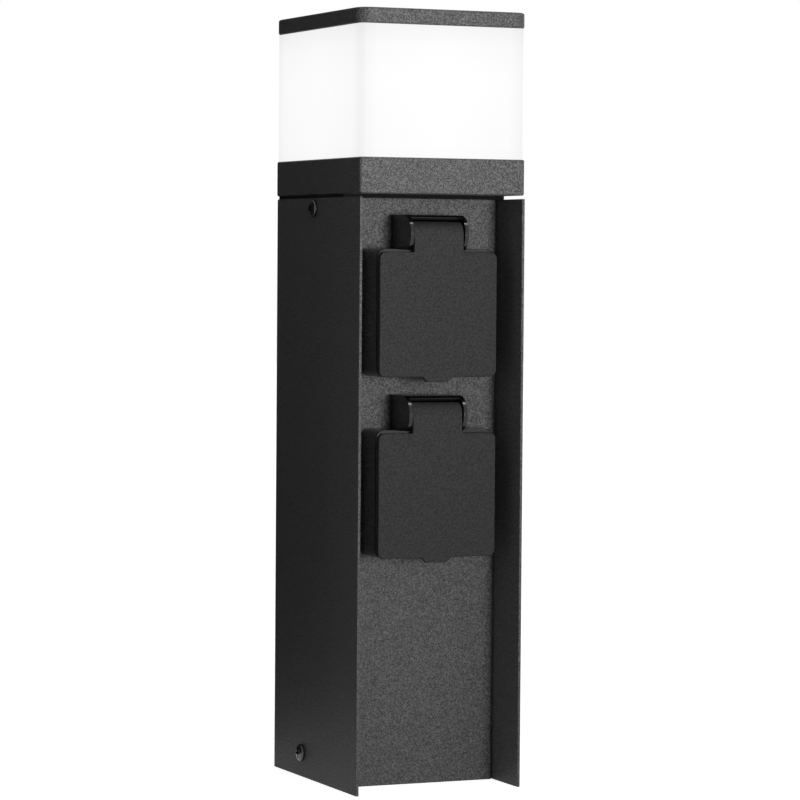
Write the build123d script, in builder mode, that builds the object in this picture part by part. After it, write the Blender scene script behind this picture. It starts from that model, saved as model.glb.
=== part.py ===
from build123d import *
from math import cos, radians, sin
import os

os.makedirs("parts", exist_ok=True)

# Garden socket post. Lengths are in millimetres. +Z is up and the recess faces -Y.
# The origin is the middle of the footprint, on the ground.
# "Out" is the distance in front of the recessed panel, towards the user.

# Column
post_width = 80.0
post_depth = 100.0
column_height = 264.5
sheet = 1.2
sheet_bend = 0.8
recess_depth = 26.0
panel_fit = 0.1
panel_flange = 45.0
inner_fit = 0.2

# Head
seal_height = 1.5
seal_side_inset = 0.6
seal_front_reach = 5.5
seal_back_inset = 2.0
collar_height = 16.0
collar_wall = 3.0
collar_floor = 2.5
collar_corner = 1.3
collar_edge = 0.8
spigot_depth = 16.0
spigot_wall = 3.0
diffuser_height = 58.5
diffuser_wall = 3.0
diffuser_corner = 3.0
lens_seal_width = 1.5
lens_seal_height = 1.2
cap_height = 7.0
cap_plate = 3.0
cap_overhang = 1.0
cap_corner = 6.5
cap_edge = 1.0
deck_drop = 3.0
deck_thickness = 1.5

# Light source and driver
board_side_gap = 12.0
board_rod_gap = 9.0
board_thickness = 1.6
chip_width = 3.5
chip_depth = 2.8
chip_height = 0.8
chip_columns = 3
chip_rows = 4
chip_margin_x = 13.0
chip_margin_y = 8.5
driver_side_gap = 9.3
driver_front_gap = 2.6
driver_back_gap = 18.6
driver_height = 20.0
driver_edge = 1.5
driver_screw_inset = 5.0
lead_hole_radius = 4.0
lead_hole_x = 14.0

# Tie rods between the deck and the cap
rod_radius = 2.0
rod_inset = 10.0
rod_boss_radius = 4.5
rod_boss_height = 7.0
rod_thread = 5.0
rod_tail = 2.0
nut_flats = 7.0
nut_height = 3.2

# Side screws, two on each side
side_screw_head_radius = 3.85
side_screw_head_height = 2.4
side_screw_radius = 2.0
side_screw_length = 9.0
upper_screw_reach = 27.0
upper_screw_drop = 4.5
lower_screw_reach = 38.0
lower_screw_z = 11.0

# Small screws
small_screw_radius = 1.5
small_head_radius = 2.75
small_head_height = 1.8
small_screw_boss_radius = 4.0
rim_share = 0.45
deck_screw_length = 8.0
deck_post_inset = 12.0
board_screw_side = 4.0
board_screw_end = 3.0
thread_fit = 0.05

# Base
plate_thickness = 2.5
ear_width = 24.0
ear_height = 22.0
ear_round = 5.0
rear_ear_width = 50.0
rear_ear_height = 62.0
anchor_spacing_x = 50.0
anchor_spacing_y = 44.0
anchor_hole_radius = 3.25
inlet_radius = 10.0
grommet_bore = 5.0
grommet_flange_radius = 13.0
grommet_flange_height = 2.0

# Terminal block on the rear ear
block_pole_width = 13.0
block_poles = 3
block_depth = 16.0
block_height = 20.0
block_base = 5.0
block_gap = 2.0
block_z = 42.0
block_clamp_spacing = 10.0
clamp_radius = 2.0
clamp_sunk = 1.0
wire_port_radius = 2.2
earth_screw_z = 20.0

# Sockets, shared by both
socket_gap = 8.4
upper_socket_drop = 51.1
housing_width = 57.0
housing_height = 57.0
housing_corner = 3.5
housing_wall = 2.0
housing_front = 18.9
housing_edge = 0.8
flange_seal_thickness = 0.8
flange_seal_inset = 0.4
well_radius = 19.75
well_depth = 17.5
well_wall = 1.8
well_floor = 2.2
guide_width = 5.0
guide_depth = 1.0
guide_length = 12.0
pin_spacing = 19.0
pin_hole_radius = 2.6
cutout_fit = 0.45
mounting_spacing = 38.0
mounting_screw_radius = 1.75
mounting_head_radius = 3.2
mounting_head_height = 2.0
mounting_screw_length = 12.0
mounting_boss_radius = 3.8

# Hinge of the flap
pin_rise = 8.1
hood_radius = 8.5
hood_setback = 2.1
hood_wall = 1.4
hood_half_width = 14.1
hood_web = 1.5
cheek_wall = 1.7
hood_lip_angle = 60.0
knuckle_radius = 5.5
knuckle_side_fit = 0.5
hinge_pin_radius = 1.5
hinge_running_fit = 0.05

# Flap
flap_top_gap = 1.5
flap_thickness = 2.5
flap_gap = 0.6
flap_corner = 3.0
flap_edge = 0.5
tab_root_half = 7.8
tab_tip_half = 4.9
tab_length = 2.3
flap_ring_radius = 19.0
flap_ring_wall = 1.6
flap_ring_depth = 2.0
flap_seal_inner = 20.5
flap_seal_outer = 23.0
flap_groove = 1.0
flap_seal_gap = 0.2

# Torsion spring
spring_wire_radius = 0.35
leg_share = 0.9
spring_radius = 2.45
spring_length = 5.4
spring_slot_half = 5.2
spring_slot_radius = 4.4
spring_front_leg = 5.5
spring_back_leg = 7.5
spring_back_angle = 150.0

# Contact parts behind the well
carrier_radius = 20.8
carrier_depth = 20.0
carrier_edge = 1.0
contact_outer = 3.3
contact_inner = 2.35
contact_length = 13.0
contact_fit = 0.2
contact_block_width = 8.0
contact_block_height = 9.0
contact_block_depth = 5.0
contact_screw_radius = 1.75
contact_head_radius = 2.4
contact_head_height = 1.6
contact_screw_length = 3.6
contact_port_radius = 1.5
slit_share = 0.7
strap_width = 8.0
strap_thickness = 0.8
strap_fit = 0.3
strap_reach = 12.0
strap_bulge = 2.6
strap_wall_gap = 0.8
strap_bend = 1.2
strap_stem = 4.0
earth_terminal_z = 11.0
centre_screw_radius = 1.75
centre_head_radius = 3.2
centre_head_height = 1.2
centre_screw_length = 12.0

# Cores inside the column
core_radius = 1.0
core_bend = 8.0
core_split = 1.05
core_entry = 3.0
core_end_gap = 2.4
core_leave_share = 0.38
core_arrive_share = 0.69
feed_leave_share = 0.72
feed_arrive_share = 0.89
feed_x = 6.0
feed_inset = 5.0
lug_radius = 4.5
lug_thickness = 0.8
lug_tail = 7.0
lead_radius = 0.7
lead_bend = 2.0
lead_split = 1.4
lead_exit = 9.0
lead_arch = 4.0
lead_land = 2.0

# Clearance past a face for every cut
overrun = 1.0

# Places worked out from the sizes above
front_y = -post_depth / 2
back_y = post_depth / 2
panel_y = front_y + recess_depth
panel_back_y = panel_y + sheet
back_inner_y = back_y - sheet
inner_width = post_width - 2 * sheet
panel_width = inner_width - 2 * panel_fit
nest_width = panel_width - 2 * sheet - 2 * inner_fit
nest_front_y = panel_back_y + inner_fit
nest_back_y = back_inner_y - inner_fit
nest_depth = nest_back_y - nest_front_y
nest_y = (nest_front_y + nest_back_y) / 2
seal_top = column_height + seal_height
collar_top = seal_top + collar_height
diffuser_top = collar_top + diffuser_height
head_top = diffuser_top + cap_height
deck_z = collar_top - deck_drop
deck_top = deck_z + deck_thickness
upper_screw_y = panel_y + upper_screw_reach
lower_screw_y = panel_y + lower_screw_reach
upper_screw_z = column_height - upper_screw_drop
rod_spacing = post_depth - 2 * rod_inset
board_width = post_width - 2 * board_side_gap
board_depth = rod_spacing - 2 * board_rod_gap
lead_hole_y = board_depth / 2 + lead_hole_radius
frame_inner_width = nest_width - 2 * spigot_wall
frame_inner_depth = nest_depth - 2 * spigot_wall
driver_width = frame_inner_width - 2 * driver_side_gap
driver_depth = frame_inner_depth - driver_front_gap - driver_back_gap
driver_y = nest_y - frame_inner_depth / 2 + driver_front_gap + driver_depth / 2
upper_socket_z = column_height - upper_socket_drop
socket_pitch = housing_height - flap_top_gap + pin_rise + hood_radius + socket_gap
lower_socket_z = upper_socket_z - socket_pitch
flap_inner = housing_front + flap_gap
flap_face = flap_inner + flap_thickness
flap_height = housing_height - flap_top_gap
hinge_out = flap_face - knuckle_radius
hood_centre_out = hinge_out - hood_setback
hood_inner = hood_radius - hood_wall
floor_out = housing_front - well_depth
carrier_front = floor_out - well_floor
socket_heights = {"upper": upper_socket_z, "lower": lower_socket_z}


def save(piece, name):
    """Labels a finished piece and writes it under its node's name."""
    piece.part.label = name
    export_step(piece.part, f"parts/{name}.step")


def side_plane(out, z):
    """Upright plane across the post: local x is out, local y is up."""
    return Plane(origin=(0, panel_y - out, z), x_dir=(0, -1, 0), z_dir=(-1, 0, 0))


def front_plane(out, z):
    """Plane parallel to the panel: local x is +X, local y is up, normal is out."""
    return Plane(origin=(0, panel_y - out, z), x_dir=(1, 0, 0), z_dir=(0, -1, 0))


def pan_screw(head_radius, head_height, shank_radius, shank_length):
    """One pan head screw that seats on z = 0 with its head up."""
    crown = head_height * (1 - rim_share)
    with BuildPart() as screw:
        with BuildSketch(Plane.XZ):
            with BuildLine():
                outline = Polyline(
                    (0, head_height),
                    (0, -shank_length),
                    (shank_radius, -shank_length),
                    (shank_radius, 0),
                    (head_radius, 0),
                    (head_radius, head_height - crown),
                )
                RadiusArc(outline @ 1, outline @ 0, -(head_radius**2 + crown**2) / (2 * crown))
            make_face()
        revolve(axis=Axis.Z)
    return screw.part


def screw_group(screw, places):
    """Alike screws as separate solids; a place's normal points out of the head."""
    with BuildPart() as screws:
        with Locations(*places):
            add(screw)
    return screws


def folded_channel(width, front, back, opens_back):
    """Section of a folded sheet channel between two Y places, as a sketch."""
    half = width / 2
    web = front if opens_back else back
    end = back if opens_back else front
    with BuildSketch() as section:
        with BuildLine():
            FilletPolyline(
                (-half, end),
                (-half, web),
                (half, web),
                (half, end),
                radius=sheet_bend + sheet,
            )
            offset(amount=sheet, side=Side.LEFT if opens_back else Side.RIGHT)
        make_face()
    return section.sketch


def hole_places(span_x, span_y):
    """The four corners of a rectangle round the origin."""
    return [(x * span_x / 2, y * span_y / 2) for x in (-1, 1) for y in (-1, 1)]


# Places of the side screws, as (side, y, z)
side_screw_spots = [
    (side, y, z)
    for side in (-1, 1)
    for y, z in ((upper_screw_y, upper_screw_z), (lower_screw_y, lower_screw_z))
]


def side_screw_holes(radius):
    """Sketch of both side screw holes, seen along X."""
    with BuildSketch(Plane.YZ) as holes:
        with Locations((upper_screw_y, upper_screw_z), (lower_screw_y, lower_screw_z)):
            Circle(radius)
    return holes.sketch


# Body channel: the back and both side plates in one fold; the plates' front edges are the fins
with BuildPart() as body_channel:
    extrude(folded_channel(post_width, front_y, back_y, False), amount=column_height)
    extrude(
        side_screw_holes(side_screw_radius + inner_fit),
        amount=post_width,
        both=True,
        mode=Mode.SUBTRACT,
    )
save(body_channel, "body_channel")

# Front panel: recessed between the side plates, with its flanges folded back inside them
with BuildPart() as front_panel:
    extrude(
        folded_channel(panel_width, panel_y, panel_y + panel_flange, True),
        amount=column_height,
    )
    extrude(
        side_screw_holes(side_screw_radius + inner_fit),
        amount=post_width,
        both=True,
        mode=Mode.SUBTRACT,
    )
    for socket_z in socket_heights.values():
        with BuildSketch(front_plane(overrun, socket_z)):
            Circle(well_radius + well_wall + cutout_fit)
            with Locations(*hole_places(mounting_spacing, mounting_spacing)):
                Circle(mounting_screw_radius + thread_fit)
        extrude(amount=-sheet - 2 * overrun, mode=Mode.SUBTRACT)
save(front_panel, "front_panel")

# Base plate: lies on the ground inside the column, with ears for the side screws and the wiring
with BuildPart() as base_plate:
    with BuildSketch(Plane.XY):
        with Locations((0, nest_y)):
            RectangleRounded(nest_width, nest_depth, sheet_bend + inner_fit)
    extrude(amount=plate_thickness)
    with BuildSketch(Plane.XY):
        for side in (-1, 1):
            with Locations((side * (nest_width - plate_thickness) / 2, lower_screw_y)):
                Rectangle(plate_thickness, ear_width)
    extrude(amount=ear_height)
    with BuildSketch(Plane.XY):
        with Locations((0, nest_back_y - plate_thickness / 2)):
            Rectangle(rear_ear_width, plate_thickness)
    extrude(amount=rear_ear_height)
    fillet(
        base_plate.edges().filter_by(Axis.X).filter_by_position(Axis.Z, ear_height, ear_height)
        .filter_by_position(Axis.Y, lower_screw_y - ear_width, lower_screw_y + ear_width),
        radius=ear_round,
    )
    fillet(
        base_plate.edges().filter_by(Axis.Y).group_by(Axis.Z)[-1],
        radius=ear_round,
    )
    with BuildSketch(Plane.XY.offset(-overrun)):
        with Locations((0, nest_y)):
            Circle(inlet_radius)
            with Locations(*hole_places(anchor_spacing_x, anchor_spacing_y)):
                Circle(anchor_hole_radius)
    extrude(amount=plate_thickness + 2 * overrun, mode=Mode.SUBTRACT)
    with BuildSketch(Plane.YZ):
        with Locations((lower_screw_y, lower_screw_z)):
            Circle(side_screw_radius + thread_fit)
    extrude(amount=post_width, both=True, mode=Mode.SUBTRACT)
    with BuildSketch(Plane.XZ.offset(-nest_back_y - overrun)):
        with Locations((0, earth_screw_z)):
            Circle(side_screw_radius + thread_fit)
        with Locations((-block_pole_width / 2, block_z), (block_pole_width / 2, block_z)):
            Circle(small_screw_radius + thread_fit)
    extrude(amount=plate_thickness + 2 * overrun, mode=Mode.SUBTRACT)
save(base_plate, "base_plate")

# Inlet grommet: a rubber sleeve pressed into the plate's cable hole
with BuildPart() as inlet_grommet:
    with BuildSketch(Plane.XZ):
        with BuildLine():
            Polyline(
                (grommet_bore, 0),
                (inlet_radius, 0),
                (inlet_radius, plate_thickness),
                (grommet_flange_radius, plate_thickness),
                (grommet_flange_radius, plate_thickness + grommet_flange_height),
                (grommet_bore, plate_thickness + grommet_flange_height),
                close=True,
            )
        make_face()
    revolve(axis=Axis.Z)
    fillet(
        inlet_grommet.edges().filter_by(GeomType.CIRCLE).group_by(Axis.Z)[-1].sort_by(SortBy.RADIUS)[-1],
        radius=grommet_flange_height / 2,
    )
inlet_grommet.part.position = (0, nest_y, 0)
save(inlet_grommet, "inlet_grommet")

# Terminal block: three poles on a thin foot, open above and below for the cores
block_back_y = nest_back_y - plate_thickness
block_front_y = block_back_y - block_depth
pole_places = [(pole - (block_poles - 1) / 2) * block_pole_width for pole in range(block_poles)]
with BuildPart() as terminal_block:
    with BuildSketch(Plane.XZ.offset(-block_back_y)):
        with Locations((0, block_z)):
            Rectangle(block_poles * block_pole_width, block_height)
    extrude(amount=block_base)
    with BuildSketch(Plane.XZ.offset(-block_back_y)):
        with Locations(*[(x, block_z) for x in pole_places]):
            RectangleRounded(block_pole_width - block_gap, block_height, block_gap)
    extrude(amount=block_depth)
    with BuildSketch(Plane.XY.offset(block_z - block_height)):
        with Locations(*[(x, block_back_y - block_depth / 2) for x in pole_places]):
            Circle(wire_port_radius)
    extrude(amount=2 * block_height, mode=Mode.SUBTRACT)
    with BuildSketch(Plane.XZ.offset(-block_front_y + overrun)):
        for x in pole_places:
            with Locations((x, block_z - block_clamp_spacing / 2), (x, block_z + block_clamp_spacing / 2)):
                Circle(clamp_radius + thread_fit)
    extrude(amount=-block_depth / 2 - overrun, mode=Mode.SUBTRACT)
    with BuildSketch(Plane.XZ.offset(-block_back_y - overrun)):
        with Locations((-block_pole_width / 2, block_z), (block_pole_width / 2, block_z)):
            Circle(small_screw_radius + thread_fit)
    extrude(amount=block_base + 2 * overrun, mode=Mode.SUBTRACT)
    with BuildSketch(Plane.XZ.offset(-block_back_y + block_base)):
        with Locations((-block_pole_width / 2, block_z), (block_pole_width / 2, block_z)):
            Circle(small_head_radius + inner_fit)
    extrude(amount=block_depth, mode=Mode.SUBTRACT)
save(terminal_block, "terminal_block")

# Clamp screws of the terminal block, two to a pole, sunk in its front
clamp_screw = pan_screw(clamp_radius, small_head_height, small_screw_radius, block_depth / 4)
terminal_clamps = screw_group(
    clamp_screw,
    [
        Plane(origin=(x, block_front_y + clamp_sunk + small_head_height, z), x_dir=(1, 0, 0), z_dir=(0, -1, 0))
        for x in pole_places
        for z in (block_z - block_clamp_spacing / 2, block_z + block_clamp_spacing / 2)
    ],
)
save(terminal_clamps, "terminal_clamps")

# Two screws that hold the block's foot to the rear ear
block_screw = pan_screw(
    small_head_radius, small_head_height, small_screw_radius, block_base + plate_thickness
)
terminal_block_screws = screw_group(
    block_screw,
    [
        Plane(origin=(x, block_back_y - block_base, block_z), x_dir=(1, 0, 0), z_dir=(0, -1, 0))
        for x in (-block_pole_width / 2, block_pole_width / 2)
    ],
)
save(terminal_block_screws, "terminal_block_screws")

# Protective earth screw on the rear ear
earth_screw = screw_group(
    pan_screw(side_screw_head_radius, side_screw_head_height, side_screw_radius, plate_thickness),
    [
        Plane(
            origin=(0, block_back_y - lug_thickness, earth_screw_z),
            x_dir=(1, 0, 0),
            z_dir=(0, -1, 0),
        )
    ],
)
save(earth_screw, "earth_screw")

# Side screws through side plate and flange, into the spigot above and the base plate's ears below
side_screws = screw_group(
    pan_screw(
        side_screw_head_radius, side_screw_head_height, side_screw_radius, side_screw_length
    ),
    [
        Plane(origin=(side * post_width / 2, y, z), x_dir=(0, 1, 0), z_dir=(side, 0, 0))
        for side, y, z in side_screw_spots
    ],
)
save(side_screws, "side_screws")

# Head seal: a flat gasket on the sheet edges, open round the spigot
head_seal_front = panel_y - seal_front_reach
head_seal_back = back_y - seal_back_inset
with BuildPart() as head_seal:
    with BuildSketch(Plane.XY.offset(column_height)):
        with Locations((0, (head_seal_front + head_seal_back) / 2)):
            Rectangle(post_width - 2 * seal_side_inset, head_seal_back - head_seal_front)
        with Locations((0, nest_y)):
            RectangleRounded(
                nest_width + 2 * inner_fit,
                nest_depth + 2 * inner_fit,
                sheet_bend + 2 * inner_fit,
                mode=Mode.SUBTRACT,
            )
    extrude(amount=seal_height)
save(head_seal, "head_seal")

# Collar: an open tray with a rim, a floor round the spigot, and an inner frame that carries the deck
deck_screw_x = post_width / 2 - collar_wall - small_screw_boss_radius * 0.85
deck_screw_places = [
    (side * deck_screw_x, y)
    for side in (-1, 1)
    for y in (
        front_y + deck_post_inset,
        nest_y - frame_inner_depth / 2 + small_screw_boss_radius / 2,
        nest_y + frame_inner_depth / 2 - small_screw_boss_radius / 2,
    )
]
with BuildPart() as collar:
    with BuildSketch(Plane.XY.offset(seal_top)):
        RectangleRounded(post_width, post_depth, collar_corner)
    extrude(amount=collar_height)
    fillet(
        collar.edges().group_by(Axis.Z)[0] + collar.edges().group_by(Axis.Z)[-1],
        radius=collar_edge,
    )
    with BuildSketch(Plane.XY.offset(seal_top + collar_floor)):
        RectangleRounded(
            post_width - 2 * collar_wall, post_depth - 2 * collar_wall, collar_corner / 2
        )
    extrude(amount=collar_height, mode=Mode.SUBTRACT)
    with BuildSketch(Plane.XY.offset(seal_top - spigot_depth)):
        with Locations((0, nest_y)):
            RectangleRounded(nest_width, nest_depth, sheet_bend + inner_fit)
    extrude(amount=deck_z - seal_top + spigot_depth)
    with BuildSketch(Plane.XY.offset(seal_top - spigot_depth - overrun)):
        with Locations((0, nest_y)):
            Rectangle(frame_inner_width, frame_inner_depth)
    extrude(amount=collar_height + spigot_depth + 2 * overrun, mode=Mode.SUBTRACT)
    with BuildSketch(Plane.XY.offset(seal_top)):
        with Locations(*deck_screw_places):
            Circle(small_screw_boss_radius)
        Rectangle(
            post_width - collar_wall, post_depth - collar_wall, mode=Mode.INTERSECT
        )
    extrude(amount=deck_z - seal_top)
    with BuildSketch(Plane.XY.offset(deck_z + overrun)):
        with Locations(*deck_screw_places):
            Circle(small_screw_radius + thread_fit)
    extrude(amount=-deck_screw_length - overrun, mode=Mode.SUBTRACT)
    extrude(
        side_screw_holes(side_screw_radius + thread_fit),
        amount=post_width,
        both=True,
        mode=Mode.SUBTRACT,
    )
save(collar, "collar")

# Deck plate: carries the light source above and the driver below
rod_places = [(0, side * rod_spacing / 2) for side in (-1, 1)]
driver_screw_places = [
    (
        side * (driver_width / 2 - driver_screw_inset),
        driver_y + side * (driver_depth / 2 - driver_screw_inset),
    )
    for side in (-1, 1)
]
board_screw_places = hole_places(
    board_width - 2 * board_screw_side, board_depth - 2 * board_screw_end
)
with BuildPart() as deck_plate:
    with BuildSketch(Plane.XY.offset(deck_z)):
        RectangleRounded(
            post_width - 2 * collar_wall - 2 * inner_fit,
            post_depth - 2 * collar_wall - 2 * inner_fit,
            collar_corner / 2,
        )
        with Locations(*deck_screw_places, *driver_screw_places, *board_screw_places):
            Circle(small_screw_radius + thread_fit, mode=Mode.SUBTRACT)
        with Locations(*rod_places):
            Circle(rod_radius + inner_fit, mode=Mode.SUBTRACT)
        with Locations((lead_hole_x, lead_hole_y)):
            Circle(lead_hole_radius, mode=Mode.SUBTRACT)
    extrude(amount=deck_thickness)
save(deck_plate, "deck_plate")

# Six screws that hold the deck to the collar's frame and posts
small_screw = pan_screw(small_head_radius, small_head_height, small_screw_radius, deck_screw_length)
deck_screws = screw_group(
    small_screw, [Plane.XY.move(Location((x, y, deck_top))) for x, y in deck_screw_places]
)
save(deck_screws, "deck_screws")

# Light source: a metal-core board with a grid of chips
with BuildPart() as led_board:
    with BuildSketch(Plane.XY.offset(deck_top)):
        Rectangle(board_width, board_depth)
        with Locations(*board_screw_places):
            Circle(small_screw_radius + thread_fit, mode=Mode.SUBTRACT)
    extrude(amount=board_thickness)
save(led_board, "led_board")

with BuildPart() as led_chips:
    with BuildSketch(Plane.XY.offset(deck_top + board_thickness)):
        with GridLocations(
            (board_width - 2 * chip_margin_x) / (chip_columns - 1),
            (board_depth - 2 * chip_margin_y) / (chip_rows - 1),
            chip_columns,
            chip_rows,
        ):
            Rectangle(chip_width, chip_depth)
    extrude(amount=chip_height)
save(led_chips, "led_chips")

board_screw = pan_screw(
    small_head_radius, small_head_height, small_screw_radius, board_thickness + deck_thickness
)
led_board_screws = screw_group(
    board_screw,
    [Plane.XY.move(Location((x, y, deck_top + board_thickness))) for x, y in board_screw_places],
)
save(led_board_screws, "led_board_screws")

# Driver: a potted box under the deck, held by two long screws
with BuildPart() as led_driver:
    with BuildSketch(Plane.XY.offset(deck_z)):
        with Locations((0, driver_y)):
            RectangleRounded(driver_width, driver_depth, driver_edge)
    extrude(amount=-driver_height)
    fillet(led_driver.edges().group_by(Axis.Z)[0], radius=driver_edge / 2)
    with BuildSketch(Plane.XY.offset(deck_z + overrun)):
        with Locations(*driver_screw_places):
            Circle(small_screw_radius + inner_fit)
    extrude(amount=-driver_height - 2 * overrun, mode=Mode.SUBTRACT)
save(led_driver, "led_driver")

driver_screw = pan_screw(
    small_head_radius,
    small_head_height,
    small_screw_radius,
    driver_height + deck_thickness - inner_fit,
)
driver_screws = screw_group(
    driver_screw,
    [
        Plane(origin=(x, y, deck_z - driver_height), x_dir=(1, 0, 0), z_dir=(0, 0, -1))
        for x, y in driver_screw_places
    ],
)
save(driver_screws, "driver_screws")

# Diffuser: a square sleeve with an inner rebate for the seal at each end
with BuildPart() as diffuser:
    with BuildSketch(Plane.XY.offset(collar_top)):
        RectangleRounded(post_width, post_depth, diffuser_corner)
        RectangleRounded(
            post_width - 2 * diffuser_wall,
            post_depth - 2 * diffuser_wall,
            diffuser_corner / 2,
            mode=Mode.SUBTRACT,
        )
    extrude(amount=diffuser_height)
    with BuildSketch(
        Plane.XY.offset(collar_top), Plane.XY.offset(diffuser_top - lens_seal_height)
    ):
        Rectangle(
            post_width - 2 * (diffuser_wall - lens_seal_width),
            post_depth - 2 * (diffuser_wall - lens_seal_width),
        )
    extrude(amount=lens_seal_height, mode=Mode.SUBTRACT)
save(diffuser, "diffuser")


def lens_seal(z):
    """One flat ring seal that fills the diffuser's rebate from this height up."""
    with BuildPart() as ring:
        with BuildSketch(Plane.XY.offset(z)):
            Rectangle(
                post_width - 2 * (diffuser_wall - lens_seal_width) - 2 * thread_fit,
                post_depth - 2 * (diffuser_wall - lens_seal_width) - 2 * thread_fit,
            )
            RectangleRounded(
                post_width - 2 * diffuser_wall,
                post_depth - 2 * diffuser_wall,
                diffuser_corner / 2,
                mode=Mode.SUBTRACT,
            )
        extrude(amount=lens_seal_height)
    return ring


save(lens_seal(collar_top), "lower_lens_seal")
save(lens_seal(diffuser_top - lens_seal_height), "upper_lens_seal")

# Cap: a flat plate with a rim, and a blind threaded boss for each tie rod
with BuildPart() as top_cap:
    with BuildSketch(Plane.XY.offset(diffuser_top)):
        RectangleRounded(
            post_width + 2 * cap_overhang, post_depth + 2 * cap_overhang, cap_corner
        )
    extrude(amount=cap_height)
    fillet(
        top_cap.edges().group_by(Axis.Z)[0] + top_cap.edges().group_by(Axis.Z)[-1],
        radius=cap_edge,
    )
    with BuildSketch(Plane.XY.offset(diffuser_top - overrun)):
        RectangleRounded(
            post_width - 2 * diffuser_wall, post_depth - 2 * diffuser_wall, cap_corner / 2
        )
    extrude(amount=cap_height - cap_plate + overrun, mode=Mode.SUBTRACT)
    with BuildSketch(Plane.XY.offset(head_top - cap_plate - rod_boss_height)):
        with Locations(*rod_places):
            Circle(rod_boss_radius)
    extrude(amount=rod_boss_height + cap_plate / 2)
    with BuildSketch(Plane.XY.offset(head_top - cap_plate - rod_boss_height)):
        with Locations(*rod_places):
            Circle(rod_radius + thread_fit)
    extrude(amount=rod_thread + inner_fit, mode=Mode.SUBTRACT)
save(top_cap, "top_cap")

# Tie rods and their nuts under the deck
rod_bottom = deck_z - nut_height - rod_tail
with BuildPart() as tie_rods:
    with BuildSketch(Plane.XY.offset(rod_bottom)):
        with Locations(*rod_places):
            Circle(rod_radius)
    extrude(amount=head_top - cap_plate - rod_boss_height + rod_thread - rod_bottom)
    chamfer(
        tie_rods.edges().filter_by(GeomType.CIRCLE).group_by(Axis.Z)[0], length=rod_radius / 4
    )
save(tie_rods, "tie_rods")

with BuildPart() as tie_rod_nuts:
    with BuildSketch(Plane.XY.offset(deck_z)):
        with Locations(*rod_places):
            RegularPolygon(nut_flats / 2, 6, major_radius=False)
            Circle(rod_radius + thread_fit, mode=Mode.SUBTRACT)
    extrude(amount=-nut_height)
save(tie_rod_nuts, "tie_rod_nuts")

# Places in a socket, measured from the middle of its well
mounting_places = hole_places(mounting_spacing, mounting_spacing)
pin_places = [(side * pin_spacing / 2, 0) for side in (-1, 1)]
arm_outer = well_radius - strap_wall_gap
slot_height = strap_thickness + 2 * strap_fit
slot_places = [(0, side * (arm_outer - strap_thickness / 2)) for side in (-1, 1)]
groove_depth = strap_thickness + contact_fit
block_front = carrier_front - contact_fit - contact_length
block_back = block_front - contact_block_depth
port_out = (block_front + block_back) / 2
terminal_places = [*pin_places, (0, earth_terminal_z)]
sleeve_hole = contact_outer + contact_fit
pocket_width = contact_block_width + 2 * contact_fit
pocket_height = contact_block_height + 2 * contact_fit


def make_flange_seal(socket_z):
    """Flat gasket between the housing's rim and the panel."""
    with BuildPart() as flange_seal:
        with BuildSketch(front_plane(0, socket_z)):
            RectangleRounded(
                housing_width - 2 * flange_seal_inset,
                housing_height - 2 * flange_seal_inset,
                housing_corner - flange_seal_inset,
            )
            Circle(well_radius + well_wall + cutout_fit, mode=Mode.SUBTRACT)
            with Locations(*mounting_places):
                Circle(mounting_screw_radius + thread_fit, mode=Mode.SUBTRACT)
        extrude(amount=flange_seal_thickness)
    return flange_seal


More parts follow.
